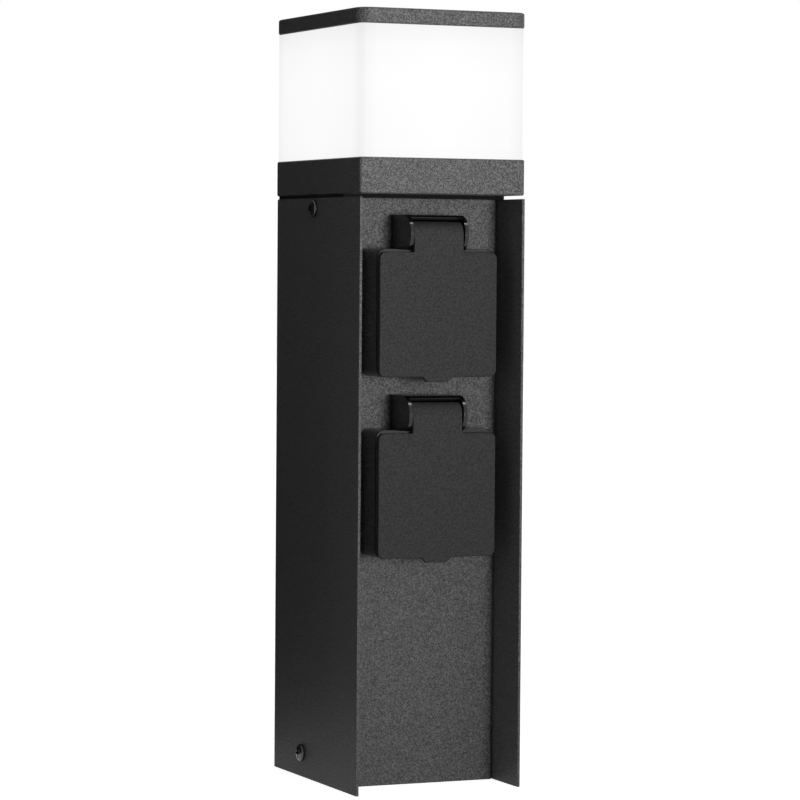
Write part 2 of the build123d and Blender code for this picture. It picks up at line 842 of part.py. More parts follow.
def make_housing(socket_z, pin_z):
    """Moulded box with the plug well in front and the hinge cheeks and hood on top."""
    with BuildPart() as hinge_block:
        with BuildSketch(side_plane(0, pin_z)):
            with BuildLine():
                back = Polyline(
                    (hood_centre_out, hood_radius),
                    (flange_seal_thickness, hood_radius),
                    (flange_seal_thickness, -hood_radius),
                    (hood_centre_out, -hood_radius),
                )
                ThreePointArc(back @ 1, (hood_centre_out + hood_radius, 0), back @ 0)
            make_face()
        extrude(amount=hood_half_width, both=True)
        with BuildSketch(side_plane(hood_centre_out, pin_z)):
            Circle(hood_inner)
            lip_x = 2 * hood_radius * cos(radians(hood_lip_angle))
            lip_y = 2 * hood_radius * sin(radians(hood_lip_angle))
            Polygon(
                (0, 0),
                (lip_x, lip_y),
                (2 * hood_radius, lip_y),
                (2 * hood_radius, -hood_radius),
                (0, -hood_radius),
                align=None,
            )
        extrude(amount=hood_half_width - cheek_wall, both=True, mode=Mode.SUBTRACT)
        pocket_out = hood_centre_out - hood_inner - hood_web
        with BuildSketch(side_plane(pocket_out / 2, pin_z)):
            Rectangle(pocket_out, 2 * hood_inner)
        extrude(amount=hood_half_width - cheek_wall, both=True, mode=Mode.SUBTRACT)
    with BuildPart() as socket_housing:
        with BuildSketch(front_plane(flange_seal_thickness, socket_z)):
            RectangleRounded(housing_width, housing_height, housing_corner)
        extrude(amount=housing_front - flange_seal_thickness)
        fillet(socket_housing.faces().sort_by(Axis.Y)[0].edges(), radius=housing_edge)
        add(hinge_block.part)
        with BuildSketch(front_plane(0, socket_z)):
            RectangleRounded(
                housing_width - 2 * housing_wall,
                housing_height - 2 * housing_wall,
                housing_corner - housing_wall,
            )
        extrude(amount=housing_front - housing_wall, mode=Mode.SUBTRACT)
        with BuildSketch(front_plane(flange_seal_thickness, socket_z)):
            with Locations(*mounting_places):
                Circle(mounting_boss_radius)
        extrude(amount=housing_front - housing_wall / 2 - flange_seal_thickness)
        with BuildSketch(front_plane(carrier_front, socket_z)):
            Circle(well_radius + well_wall)
        extrude(amount=housing_front - housing_wall / 2 - carrier_front)
        with BuildSketch(front_plane(floor_out, socket_z)):
            Circle(well_radius)
        extrude(amount=well_depth + overrun, mode=Mode.SUBTRACT)
        fillet(
            socket_housing.edges()
            .filter_by(GeomType.CIRCLE)
            .filter_by_position(
                Axis.Y, panel_y - housing_front - thread_fit, panel_y - housing_front + thread_fit
            )
            .sort_by(SortBy.RADIUS)[-1],
            radius=flap_edge,
        )
        with BuildSketch(front_plane(floor_out, socket_z)):
            for side in (-1, 1):
                with Locations((side * (well_radius - guide_depth / 2 + well_wall / 4), 0)):
                    Rectangle(guide_depth + well_wall / 2, guide_width)
        extrude(amount=guide_length)
        with BuildSketch(front_plane(floor_out + overrun, socket_z)):
            with Locations(*pin_places):
                Circle(pin_hole_radius)
            with Locations(*slot_places):
                Rectangle(strap_width + 2 * strap_fit, slot_height)
            Circle(centre_screw_radius + inner_fit)
        extrude(amount=-well_floor - 2 * overrun, mode=Mode.SUBTRACT)
        with BuildSketch(front_plane(0, socket_z)):
            with Locations(*mounting_places):
                Circle(mounting_screw_radius + thread_fit)
        extrude(amount=mounting_screw_length, mode=Mode.SUBTRACT)
        with BuildSketch(side_plane(hinge_out, pin_z).offset(hood_half_width - cheek_wall / 2)):
            Circle(hinge_pin_radius + thread_fit)
        extrude(amount=-2 * hood_half_width, mode=Mode.SUBTRACT)
    return socket_housing


def make_flap(socket_z, pin_z):
    """Sprung lid: plate, lifting tab, neck and knuckle, with the seal's groove inside."""
    plate_z = socket_z - (housing_height - flap_height) / 2
    with BuildPart() as flap:
        with BuildSketch(front_plane(flap_inner, plate_z)):
            RectangleRounded(housing_width, flap_height, flap_corner)
        extrude(amount=flap_thickness)
        with BuildSketch(front_plane(flap_inner, plate_z - flap_height / 2)):
            Polygon(
                (-tab_root_half, flap_edge),
                (tab_root_half, flap_edge),
                (tab_tip_half, -tab_length),
                (-tab_tip_half, -tab_length),
                align=None,
            )
        extrude(amount=flap_thickness)
        fillet(flap.faces().sort_by(Axis.Y)[0].edges(), radius=flap_edge)
        with BuildSketch(side_plane(hinge_out, pin_z)):
            Circle(knuckle_radius)
            with BuildLine():
                Polyline(
                    (knuckle_radius - flap_thickness, -pin_rise - flap_thickness),
                    (knuckle_radius, -pin_rise - flap_thickness),
                    (knuckle_radius, 0),
                    (knuckle_radius - flap_thickness, 0),
                    close=True,
                )
            make_face()
        extrude(amount=hood_half_width - cheek_wall - knuckle_side_fit, both=True)
        with BuildSketch(side_plane(hinge_out, pin_z)):
            Circle(hinge_pin_radius + hinge_running_fit)
        extrude(amount=hood_half_width, both=True, mode=Mode.SUBTRACT)
        with BuildSketch(side_plane(hinge_out, pin_z)):
            Circle(spring_slot_radius)
            with Locations((-knuckle_radius / 2, 0)):
                Rectangle(knuckle_radius, 3 * knuckle_radius)
            with Locations((knuckle_radius / 2, -knuckle_radius)):
                Rectangle(knuckle_radius, 2 * knuckle_radius)
            with Locations((-overrun / 2 - flap_thickness / 2, 0)):
                Rectangle(
                    2 * knuckle_radius - flap_thickness + overrun,
                    4 * knuckle_radius,
                    mode=Mode.INTERSECT,
                )
        extrude(amount=spring_slot_half, both=True, mode=Mode.SUBTRACT)
        with BuildSketch(front_plane(flap_inner, socket_z)):
            Circle(flap_ring_radius)
            Circle(flap_ring_radius - flap_ring_wall, mode=Mode.SUBTRACT)
        extrude(amount=-flap_ring_depth)
        with BuildSketch(front_plane(flap_inner, socket_z)):
            Circle(flap_seal_outer)
            Circle(flap_seal_inner, mode=Mode.SUBTRACT)
        extrude(amount=flap_groove, mode=Mode.SUBTRACT)
    return flap


def make_flap_seal(socket_z):
    """Soft ring in the lid's groove, just clear of the housing's face."""
    with BuildPart() as flap_seal:
        with BuildSketch(front_plane(housing_front + flap_seal_gap, socket_z)):
            Circle(flap_seal_outer)
            Circle(flap_seal_inner, mode=Mode.SUBTRACT)
        extrude(amount=flap_inner + flap_groove - housing_front - flap_seal_gap)
        fillet(
            flap_seal.edges().filter_by(GeomType.CIRCLE).group_by(Axis.Y)[-1],
            radius=flap_seal_gap,
        )
    return flap_seal


def make_hinge_pin(pin_z):
    """Plain pin, blind in one cheek and flush with the other."""
    with BuildPart() as hinge_pin:
        with BuildSketch(side_plane(hinge_out, pin_z).offset(hood_half_width - cheek_wall / 2)):
            Circle(hinge_pin_radius)
        extrude(amount=-2 * hood_half_width + cheek_wall / 2 + inner_fit)
        chamfer(hinge_pin.edges().filter_by(GeomType.CIRCLE), length=inner_fit)
    return hinge_pin


def make_flap_spring(pin_z):
    """Torsion spring: a close coil round the pin, one leg behind the neck and one on the housing."""
    middle = side_plane(hinge_out, pin_z)
    with BuildPart() as flap_spring:
        with BuildSketch(middle):
            Circle(spring_radius + spring_wire_radius)
            Circle(spring_radius - spring_wire_radius, mode=Mode.SUBTRACT)
        extrude(amount=spring_length / 2, both=True)
        for side, turn, length in ((-1, 0, spring_front_leg), (1, spring_back_angle, spring_back_leg)):
            start = Vector(spring_radius, 0, side * (spring_length / 2 - spring_wire_radius))
            run = Vector(0, side * length, 0)
            with BuildSketch(
                Plane(
                    origin=middle.from_local_coords(start.rotate(Axis.Z, turn)),
                    z_dir=middle.from_local_coords(run.rotate(Axis.Z, turn)) - middle.origin,
                )
            ):
                Circle(spring_wire_radius * leg_share)
            extrude(amount=length)
    return flap_spring


def make_housing_screws(socket_z):
    """Four screws from inside the panel into the housing's bosses."""
    screw = pan_screw(
        mounting_head_radius, mounting_head_height, mounting_screw_radius, mounting_screw_length
    )
    return screw_group(
        screw,
        [
            Plane(origin=(x, panel_back_y, socket_z + z), x_dir=(1, 0, 0), z_dir=(0, 1, 0))
            for x, z in mounting_places
        ],
    )


def make_terminal_base(socket_z):
    """Contact carrier behind the well, with chambers in front and terminal pockets behind."""
    with BuildPart() as terminal_base:
        with BuildSketch(front_plane(carrier_front, socket_z)):
            Circle(carrier_radius)
        extrude(amount=-carrier_depth)
        fillet(terminal_base.edges().group_by(Axis.Y)[-1], radius=carrier_edge)
        with BuildSketch(front_plane(carrier_front + overrun, socket_z)):
            with Locations(*pin_places):
                Circle(sleeve_hole)
            Circle(centre_screw_radius + thread_fit)
        extrude(amount=block_front - carrier_front - overrun, mode=Mode.SUBTRACT)
        with BuildSketch(front_plane(carrier_front + overrun, socket_z)):
            Rectangle(strap_width + 2 * strap_fit, 2 * carrier_radius + overrun)
        extrude(amount=-groove_depth - overrun, mode=Mode.SUBTRACT)
        with BuildSketch(front_plane(carrier_front, socket_z)):
            with Locations((0, earth_terminal_z)):
                Rectangle(strap_stem + 2 * contact_fit, strap_stem + 2 * contact_fit)
        extrude(amount=block_front - carrier_front, mode=Mode.SUBTRACT)
        with BuildSketch(front_plane(block_front + contact_fit, socket_z)):
            with Locations(*terminal_places):
                Rectangle(pocket_width, pocket_height)
            for x, _ in terminal_places:
                with Locations((x, 0)):
                    Rectangle(contact_block_width / 2, 2 * carrier_radius + overrun)
        extrude(amount=-carrier_depth, mode=Mode.SUBTRACT)
    return terminal_base


def make_terminal_block_part(x, z):
    """Brass terminal behind a contact, with a core port through it and a screw hole."""
    with BuildPart() as terminal:
        with BuildSketch(front_plane(block_front, z)):
            with Locations((x, 0)):
                Rectangle(contact_block_width, contact_block_height)
        extrude(amount=-contact_block_depth)
        with BuildSketch(Plane.XY.offset(z)):
            with Locations((x, panel_y - port_out)):
                Circle(contact_port_radius)
        extrude(amount=contact_block_height, both=True, mode=Mode.SUBTRACT)
        with BuildSketch(front_plane(block_back - overrun, z)):
            with Locations((x, 0)):
                Circle(contact_screw_radius + thread_fit)
        extrude(amount=contact_screw_length + overrun, mode=Mode.SUBTRACT)
    return terminal.part


def make_pin_contacts(socket_z):
    """Two slit sleeves behind the pin holes, each with its terminal."""
    with BuildPart() as pin_contacts:
        for x, z in pin_places:
            with BuildSketch(front_plane(block_front + contact_length, socket_z + z)):
                with Locations((x, 0)):
                    Circle(contact_outer)
                    Circle(contact_inner, mode=Mode.SUBTRACT)
            extrude(amount=-contact_length)
            with BuildSketch(front_plane(block_front + contact_length, socket_z + z)):
                with Locations((x, 0)):
                    Rectangle(strap_thickness, 2 * contact_outer + overrun)
            extrude(amount=-contact_length * slit_share, mode=Mode.SUBTRACT)
        for x, z in pin_places:
            add(make_terminal_block_part(x, socket_z + z))
    return pin_contacts


def make_earth_contact(socket_z):
    """Bent strap: two sprung arms through the well's floor, a base behind it, and a terminal."""
    tip = floor_out + strap_reach
    waist = arm_outer - strap_bulge
    base = carrier_front - groove_depth
    corners = [
        (tip, arm_outer - strap_thickness),
        (floor_out + strap_reach * 2 / 3, waist),
        (floor_out + strap_reach / 3, arm_outer),
        (base, arm_outer),
    ]
    mirrored = [(out, -height) for out, height in reversed(corners)]
    with BuildPart() as earth_contact:
        with BuildSketch(side_plane(0, socket_z)):
            with BuildLine():
                FilletPolyline(*corners, *mirrored, radius=strap_bend)
                offset(amount=strap_thickness, side=Side.LEFT)
            make_face()
        extrude(amount=strap_width / 2, both=True)
        with BuildSketch(front_plane(base, socket_z)):
            with Locations((0, earth_terminal_z)):
                Rectangle(strap_stem, strap_stem)
        extrude(amount=block_front - base)
        with BuildSketch(front_plane(base - overrun, socket_z)):
            Circle(centre_screw_radius + inner_fit)
        extrude(amount=groove_depth + 2 * overrun, mode=Mode.SUBTRACT)
        add(make_terminal_block_part(0, socket_z + earth_terminal_z))
    return earth_contact


def make_contact_screws(socket_z):
    """One screw in each terminal, from behind."""
    screw = pan_screw(
        contact_head_radius, contact_head_height, contact_screw_radius, contact_screw_length
    )
    return screw_group(
        screw,
        [
            Plane(origin=(x, panel_y - block_back, socket_z + z), x_dir=(1, 0, 0), z_dir=(0, 1, 0))
            for x, z in terminal_places
        ],
    )


def make_centre_screw(socket_z):
    """The screw in the middle of the well that holds the carrier."""
    screw = pan_screw(
        centre_head_radius, centre_head_height, centre_screw_radius, centre_screw_length
    )
    return screw_group(screw, [front_plane(floor_out, socket_z)])


for prefix, socket_z in socket_heights.items():
    pin_z = socket_z - housing_height / 2 + flap_height + pin_rise
    save(make_flange_seal(socket_z), f"{prefix}_flange_seal")
    save(make_housing(socket_z, pin_z), f"{prefix}_socket_housing")
    save(make_flap(socket_z, pin_z), f"{prefix}_flap")
    save(make_flap_seal(socket_z), f"{prefix}_flap_seal")
    save(make_hinge_pin(pin_z), f"{prefix}_hinge_pin")
    save(make_flap_spring(pin_z), f"{prefix}_flap_spring")
    save(make_housing_screws(socket_z), f"{prefix}_housing_screws")
    save(make_terminal_base(socket_z), f"{prefix}_terminal_base")
    save(make_pin_contacts(socket_z), f"{prefix}_pin_contacts")
    save(make_earth_contact(socket_z), f"{prefix}_earth_contact")
    save(make_contact_screws(socket_z), f"{prefix}_contact_screws")
    save(make_centre_screw(socket_z), f"{prefix}_centre_screw")


def core(start, end, top_z, leave_share, arrive_share):
    """One core from the terminal block up, across and up again to a height over the end place."""
    across = Vector(end) - Vector(start)
    upright = Plane(origin=start, x_dir=across, z_dir=across.cross(Vector(0, 0, 1)))
    rise = top_z - core_start_z
    with BuildPart() as run:
        with BuildLine(upright):
            way = FilletPolyline(
                (0, core_start_z),
                (0, core_start_z + rise * leave_share),
                (across.length, core_start_z + rise * arrive_share),
                (across.length, top_z),
                radius=core_bend,
            )
        with BuildSketch(Plane(origin=way @ 0, z_dir=way % 0)):
            Circle(core_radius)
        sweep()
    return run.part


# Cores: one from the block to the lower socket, one on to the upper socket, one to the driver
port_y = block_back_y - block_depth / 2
terminal_y = panel_y - port_out
core_start_z = block_z + block_height / 2 - core_entry
feed_y = driver_y + driver_depth / 2 - feed_inset


def pole_cores(side):
    """The cores of one supply pole on the given side."""
    pole_x = side * block_pole_width
    socket_x = side * pin_spacing / 2
    with BuildPart() as cores:
        add(
            core(
                (pole_x + side * core_split, port_y, 0),
                (socket_x, terminal_y, 0),
                lower_socket_z - core_end_gap,
                core_leave_share,
                core_arrive_share,
            )
        )
        add(
            core(
                (pole_x - side * core_split, port_y, 0),
                (side * feed_x, feed_y, 0),
                deck_z - driver_height,
                feed_leave_share,
                feed_arrive_share,
            )
        )
        with BuildSketch(Plane.XY.offset(lower_socket_z + core_end_gap)):
            with Locations((socket_x, terminal_y)):
                Circle(core_radius)
        extrude(amount=socket_pitch - 2 * core_end_gap)
    return cores


save(pole_cores(-1), "live_wires")
save(pole_cores(1), "neutral_wires")

# Earth cores, with a ring lug under the earth screw
lug_front_y = block_back_y - lug_thickness
block_bottom_z = block_z - block_height / 2
with BuildPart() as earth_wires:
    add(
        core(
            (0, port_y, 0),
            (0, terminal_y, 0),
            lower_socket_z + earth_terminal_z - core_end_gap,
            core_leave_share,
            core_arrive_share,
        )
    )
    with BuildSketch(Plane.XY.offset(lower_socket_z + earth_terminal_z + core_end_gap)):
        with Locations((0, terminal_y)):
            Circle(core_radius)
    extrude(amount=socket_pitch - 2 * core_end_gap)
    with BuildSketch(Plane.XZ.offset(-block_back_y)):
        with Locations((0, earth_screw_z)):
            Circle(lug_radius)
        with Locations((0, earth_screw_z + lug_tail / 2)):
            Rectangle(2 * core_radius, lug_tail)
        with Locations((0, earth_screw_z)):
            Circle(side_screw_radius + thread_fit, mode=Mode.SUBTRACT)
    extrude(amount=lug_thickness)
    with BuildLine(Plane.YZ):
        drop = FilletPolyline(
            (port_y, block_bottom_z + core_entry),
            (port_y, block_bottom_z - core_radius),
            (lug_front_y - core_radius / 2, earth_screw_z + lug_tail),
            (lug_front_y - core_radius / 2, earth_screw_z + side_screw_head_radius + core_radius),
            radius=core_radius,
        )
    with BuildSketch(Plane(origin=drop @ 0, z_dir=drop % 0)):
        Circle(core_radius)
    sweep()
save(earth_wires, "earth_wires")

# Two thin leads from the driver's end, up through the deck and onto the board's edge
lead_low_z = deck_z - lead_exit
lead_high_z = deck_top + lead_arch
board_top = deck_top + board_thickness
with BuildPart() as led_leads:
    for side in (-1, 1):
        with BuildLine(Plane.YZ.offset(lead_hole_x + side * lead_split)):
            lead = FilletPolyline(
                (driver_y + driver_depth / 2, lead_low_z),
                (lead_hole_y, lead_low_z),
                (lead_hole_y, lead_high_z),
                (board_depth / 2 - lead_land, lead_high_z),
                (board_depth / 2 - lead_land, board_top),
                radius=lead_bend,
            )
        with BuildSketch(Plane(origin=lead @ 0, z_dir=lead % 0)):
            Circle(lead_radius)
        sweep()
save(led_leads, "led_leads")
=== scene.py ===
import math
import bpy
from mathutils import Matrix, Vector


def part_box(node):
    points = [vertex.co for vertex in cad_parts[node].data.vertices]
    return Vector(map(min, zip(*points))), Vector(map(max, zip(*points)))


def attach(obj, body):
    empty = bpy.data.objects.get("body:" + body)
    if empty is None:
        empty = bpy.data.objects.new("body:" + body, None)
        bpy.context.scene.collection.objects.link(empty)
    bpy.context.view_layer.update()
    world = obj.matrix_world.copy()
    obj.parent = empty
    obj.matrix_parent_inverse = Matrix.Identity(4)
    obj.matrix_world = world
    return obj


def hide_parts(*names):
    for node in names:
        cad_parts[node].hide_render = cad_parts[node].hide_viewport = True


bl_info = {
    "name": "Garden Socket Post",
    "version": (1, 0, 0),
    "blender": (4, 5, 0),
    "location": "3D Viewport > Sidebar > Socket Post",
    "description": "Dresses a garden socket post: coated sheet, sprung lids, lit head and screws",
    "category": "Object",
}

import bmesh
import bpy
from mathutils import Matrix, Vector

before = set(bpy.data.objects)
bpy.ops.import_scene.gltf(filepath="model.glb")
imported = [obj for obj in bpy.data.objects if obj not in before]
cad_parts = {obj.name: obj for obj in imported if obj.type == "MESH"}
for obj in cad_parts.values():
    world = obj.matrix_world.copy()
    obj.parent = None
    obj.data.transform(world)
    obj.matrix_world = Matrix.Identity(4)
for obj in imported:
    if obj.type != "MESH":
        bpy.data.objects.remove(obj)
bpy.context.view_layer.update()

MM = 0.001
SOCKETS = ("upper", "lower")

# Points of a CAD node that lie closer than this are one point
SAME_POINT = 0.001 * MM

# Points of a screw further out than this share of its head's radius lie on the head's edge
HEAD_EDGE = 0.98

# Radius of the wire of the lid springs
SPRING_WIRE = 0.35 * MM


# Sizes read from the fixed frame


def islands(node):
    """Points of each separate solid in a CAD node, in metres and in the order of its mesh."""
    mesh = bmesh.new()
    mesh.from_mesh(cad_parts[node].data)
    bmesh.ops.remove_doubles(mesh, verts=mesh.verts, dist=SAME_POINT)
    left = set(mesh.verts)
    groups = []
    for first in mesh.verts:
        if first not in left:
            continue
        left.remove(first)
        group, edge = [first], [first]
        while edge:
            vert = edge.pop()
            for link in vert.link_edges:
                other = link.other_vert(vert)
                if other in left:
                    left.remove(other)
                    group.append(other)
                    edge.append(other)
        groups.append([vert.co.copy() for vert in group])
    mesh.free()
    return groups


def screw_measures(points):
    """Seat, facing, head radius, head height, shank radius and shank length of one screw."""
    low = Vector(map(min, zip(*points)))
    high = Vector(map(max, zip(*points)))
    size = high - low
    axis = max(range(3), key=lambda i: size[i])
    others = [i for i in range(3) if i != axis]
    middle = (low + high) / 2

    def reach(point):
        return math.hypot(*(point[i] - middle[i] for i in others))

    head_radius = max(reach(p) for p in points)
    edge = [p[axis] for p in points if reach(p) > head_radius * HEAD_EDGE]
    head_is_high = sum(edge) / len(edge) > middle[axis]
    seat_at = min(edge) if head_is_high else max(edge)
    tip_at = low[axis] if head_is_high else high[axis]
    shank_radius = max(reach(p) for p in points if abs(p[axis] - tip_at) < SAME_POINT)
    shank_length = abs(seat_at - tip_at)
    seat = middle.copy()
    seat[axis] = seat_at
    facing = Vector((0, 0, 0))
    facing[axis] = 1 if head_is_high else -1
    return seat, facing, head_radius, size[axis] - shank_length, shank_radius, shank_length


def in_sockets(*pieces):
    """Full names of these pieces in both sockets."""
    return [f"{socket}_{piece}" for socket in SOCKETS for piece in pieces]


spring_low, spring_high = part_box("upper_flap_spring")
diffuser_low, diffuser_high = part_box("diffuser")


# Colours, nodes and materials


def linear(code):
    """An sRGB hex value as linear red, green, blue and alpha."""
    parts = [int(code[i : i + 2], 16) / 255 for i in (1, 3, 5)]
    return (*(c / 12.92 if c <= 0.04045 else ((c + 0.055) / 1.055) ** 2.4 for c in parts), 1.0)


def add_node(tree, kind, settings=None):
    """Adds one node. A setting is a property, an input's value, a node or socket that feeds an
    input, or "stops" of a colour ramp, as places with hex values or ready colours."""
    made = tree.nodes.new(kind)
    for key, value in (settings or {}).items():
        if isinstance(value, bpy.types.Node):
            value = value.outputs[0]
        if isinstance(value, bpy.types.NodeSocket):
            tree.links.new(value, made.inputs[key])
        elif key == "stops":
            marks = made.color_ramp.elements
            while len(marks) < len(value):
                marks.new(0.5)
            for mark, (at, colour) in zip(marks, value):
                mark.position = at
                mark.color = linear(colour) if isinstance(colour, str) else colour
        elif isinstance(key, str) and hasattr(made, key):
            setattr(made, key, value)
        else:
            made.inputs[key].default_value = value
    return made


def new_material(name, shader):
    """A material with one Principled shader; returns it with its tree and that shader."""
    material = bpy.data.materials.new(name)
    material.use_nodes = True
    tree = material.node_tree
    tree.nodes.clear()
    surface = add_node(tree, "ShaderNodeBsdfPrincipled", shader)
    add_node(tree, "ShaderNodeOutputMaterial", {"Surface": surface})
    material.diffuse_color = surface.inputs["Base Color"].default_value[:]
    return material, tree, surface


def grain(tree, surface, size_mm, height_mm, detail=2.0, edge_mm=0.0, noise_roughness=0.55):
    """Bumps of a real size, with sharp edges eased by edge_mm; returns the noise behind them."""
    place = add_node(tree, "ShaderNodeTexCoord")
    noise = add_node(
        tree,
        "ShaderNodeTexNoise",
        {
            "Scale": 1 / (size_mm * MM * 2),
            "Detail": detail,
            "Roughness": noise_roughness,
            "Vector": place.outputs["Object"],
        },
    )
    bump = add_node(
        tree, "ShaderNodeBump", {"Strength": 1.0, "Distance": height_mm * MM, "Height": noise}
    )
    if edge_mm:
        eased = add_node(tree, "ShaderNodeBevel", {"samples": 4, "Radius": edge_mm * MM})
        tree.links.new(eased.outputs[0], bump.inputs["Normal"])
    tree.links.new(bump.outputs[0], surface.inputs["Normal"])
    return noise


def speckle(tree, surface, share, low, high, start=0.35, end=0.65):
    """Runs the surface colour from one colour to another along a share, such as a noise."""
    colours = add_node(tree, "ShaderNodeValToRGB", {"Fac": share, "stops": ((start, low), (end, high))})
    tree.links.new(colours.outputs[0], surface.inputs["Base Color"])


def give(material, *nodes):
    """Puts a material on CAD nodes and keeps their slots."""
    for name in nodes:
        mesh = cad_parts[name].data
        if not mesh.materials:
            mesh.materials.append(material)
        for i in range(len(mesh.materials)):
            mesh.materials[i] = material


# Settings a user would change


class PostFinishes(bpy.types.PropertyGroup):
    """Colours and grain of the powder coat, whose colours paint shade into its hollows and glints onto
    its grains, and the glow of the head.
    """

    # Darker colour between the grains: painted shade in the coat's hollows
    coat_painted_shade: bpy.props.FloatVectorProperty(
        name="Coat, hollows", description="Powder coat colour between its grains",
        subtype="COLOR", size=4, min=0, max=1, default=linear("#373738"),
    )
    # Lighter colour on the grains: painted glints where the grains catch the light
    coat_painted_glint: bpy.props.FloatVectorProperty(
        name="Coat, grains", description="Powder coat colour on its grains",
        subtype="COLOR", size=4, min=0, max=1, default=linear("#7c7c7d"),
    )
    grain_mm: bpy.props.FloatProperty(
        name="Coat grain", description="Width of one grain of the powder coat in millimetres",
        default=0.27, min=0.1, max=5,
    )
    glow: bpy.props.FloatProperty(
        name="Glow", description="Strength of the lit diffuser", default=0.972, min=0, max=10,
    )


class ScrewSizes(bpy.types.PropertyGroup):
    """Recess of the pan head screws, as shares of the head."""

    recess_span: bpy.props.FloatProperty(
        name="Recess span", description="Tip to tip of the cross, as a share of the head's width",
        subtype="FACTOR", default=0.62, min=0.2, max=0.9,
    )
    recess_width: bpy.props.FloatProperty(
        name="Recess width", description="Width of one arm, as a share of the head's width",
        subtype="FACTOR", default=0.15, min=0.05, max=0.4,
    )
    recess_depth: bpy.props.FloatProperty(
        name="Recess depth", description="Depth of the recess, as a share of the head's height",
        subtype="FACTOR", default=0.7, min=0.1, max=0.95,
    )
    seed: bpy.props.IntProperty(
        name="Seed", description="Fixes how far each screw happens to be turned", default=3,
    )


class SpringSizes(bpy.types.PropertyGroup):
    """Sizes of the lids' torsion springs."""

    wire: bpy.props.FloatProperty(
        name="Wire radius", description="Radius of the spring's wire",
        unit="LENGTH", default=SPRING_WIRE, min=0.1 * MM,
    )
    turns: bpy.props.FloatProperty(
        name="Turns", description="Turns of the coil", default=5.4167, min=1,
    )
    radius: bpy.props.FloatProperty(
        name="Coil radius", description="Hinge pin's axis to the middle of the wire",
        unit="LENGTH", default=2.45 * MM, min=0.5 * MM,
    )
    length: bpy.props.FloatProperty(
        name="Coil length", description="Length of the coil, between the middles of its end wires",
        unit="LENGTH", default=(spring_high - spring_low).x - 2 * SPRING_WIRE,
    )
    front_leg: bpy.props.FloatProperty(
        name="Front leg", description="Length of the leg that presses on the lid",
        unit="LENGTH", default=5.5 * MM,
    )
    back_leg: bpy.props.FloatProperty(
        name="Back leg", description="Length of the leg that rests in the housing",
        unit="LENGTH", default=7.5 * MM,
    )


class StudioSettings(bpy.types.PropertyGroup):
    """Camera and light."""

    azimuth: bpy.props.FloatProperty(
        name="Azimuth", description="Camera's turn round the post from its front",
        subtype="ANGLE", default=math.radians(-23.6003),
    )
    elevation: bpy.props.FloatProperty(
        name="Elevation", description="Camera's height angle",
        subtype="ANGLE", default=math.radians(2.2617),
    )
    roll: bpy.props.FloatProperty(
        name="Roll", description="Camera's turn about its own axis",
        subtype="ANGLE", default=math.radians(0.4261),
    )
    distance: bpy.props.FloatProperty(
        name="Distance", description="Camera to the point it looks at",
        unit="LENGTH", default=1.573762,
    )
    target: bpy.props.FloatVectorProperty(
        name="Target", description="Point that the camera looks at",
        subtype="TRANSLATION", unit="LENGTH", default=(0.001611, 0.0, 0.172860),
    )
    lens: bpy.props.FloatProperty(
        name="Lens", description="Focal length in millimetres on a 36 mm sensor", default=154.80,
    )
    key: bpy.props.FloatProperty(
        name="Key light", description="Power of the narrow lamp in front in watts",
        default=1.33, min=0,
    )
    top: bpy.props.FloatProperty(
        name="Top light", description="Power of the small lamp overhead in watts",
        default=2.0, min=0,
    )
    rim: bpy.props.FloatProperty(
        name="Rim light", description="Power of the small lamp on the left in watts",
        default=0.3, min=0,
    )
    fill: bpy.props.FloatProperty(
        name="Fill", description="Strength of the even light all round", default=0.25, min=0,
    )


class SocketPostSettings(bpy.types.PropertyGroup):
    """All the post's settings."""

    finishes: bpy.props.PointerProperty(type=PostFinishes)
    screws: bpy.props.PointerProperty(type=ScrewSizes)
    springs: bpy.props.PointerProperty(type=SpringSizes)
    studio: bpy.props.PointerProperty(type=StudioSettings)


# Finishes of the column and the base


def coated(name, settings, roughness, specular):
    """Textured powder coat over one kind of metal."""
    # The coat's fine even grain scatters a soft sheen. The real grain is about 0.2 mm wide and is
    # drawn a little coarser, so that it shows.
    coat, tree, surface = new_material(
        name,
        {
            "Base Color": settings.coat_painted_glint,
            "Roughness": roughness,
            "IOR": 1.5,
            "Specular IOR Level": specular,
        },
    )
    noise = grain(
        tree, surface, settings.grain_mm, height_mm=0.08, detail=3.0, edge_mm=0.35, noise_roughness=0.65
    )
    # The colour follows the bumps: darker in the hollows as painted shade, lighter on the grains as
    # painted glints
    speckle(tree, surface, noise, settings.coat_painted_shade, settings.coat_painted_glint, start=0.42, end=0.65)
    return coat


def coated_sheet(settings):
    """Folded sheet of the column."""
    # Folded steel sheet, electrostatically powder coated: grey black with a fine even grain
    return coated("Powder-coated steel sheet", settings, roughness=0.6, specular=0.3)


def galvanised_steel():
    """Plates inside the post."""
    # Hot-dip galvanised steel: dull grey with soft cloudy spangle a few millimetres wide
    zinc, tree, surface = new_material(
        "Galvanised steel", {"Base Color": linear("#b9bcbe"), "Metallic": 1.0, "Roughness": 0.45}
    )
    clouds = grain(tree, surface, size_mm=5.0, height_mm=0.02, detail=1.0, edge_mm=0.2)
    speckle(tree, surface, clouds, "#a4a8aa", "#c6c9ca")
    return zinc


def moulded_rubber():
    """Grommet, gaskets and sealing rings."""
    # Moulded EPDM rubber: deep black with no gloss
    rubber, tree, surface = new_material(
        "Moulded EPDM rubber",
        {
            "Base Color": linear("#131212"),
            "Roughness": 0.8,
            "IOR": 1.52,
            "Specular IOR Level": 0.15,
        },
    )
    grain(tree, surface, size_mm=0.4, height_mm=0.02)
    return rubber


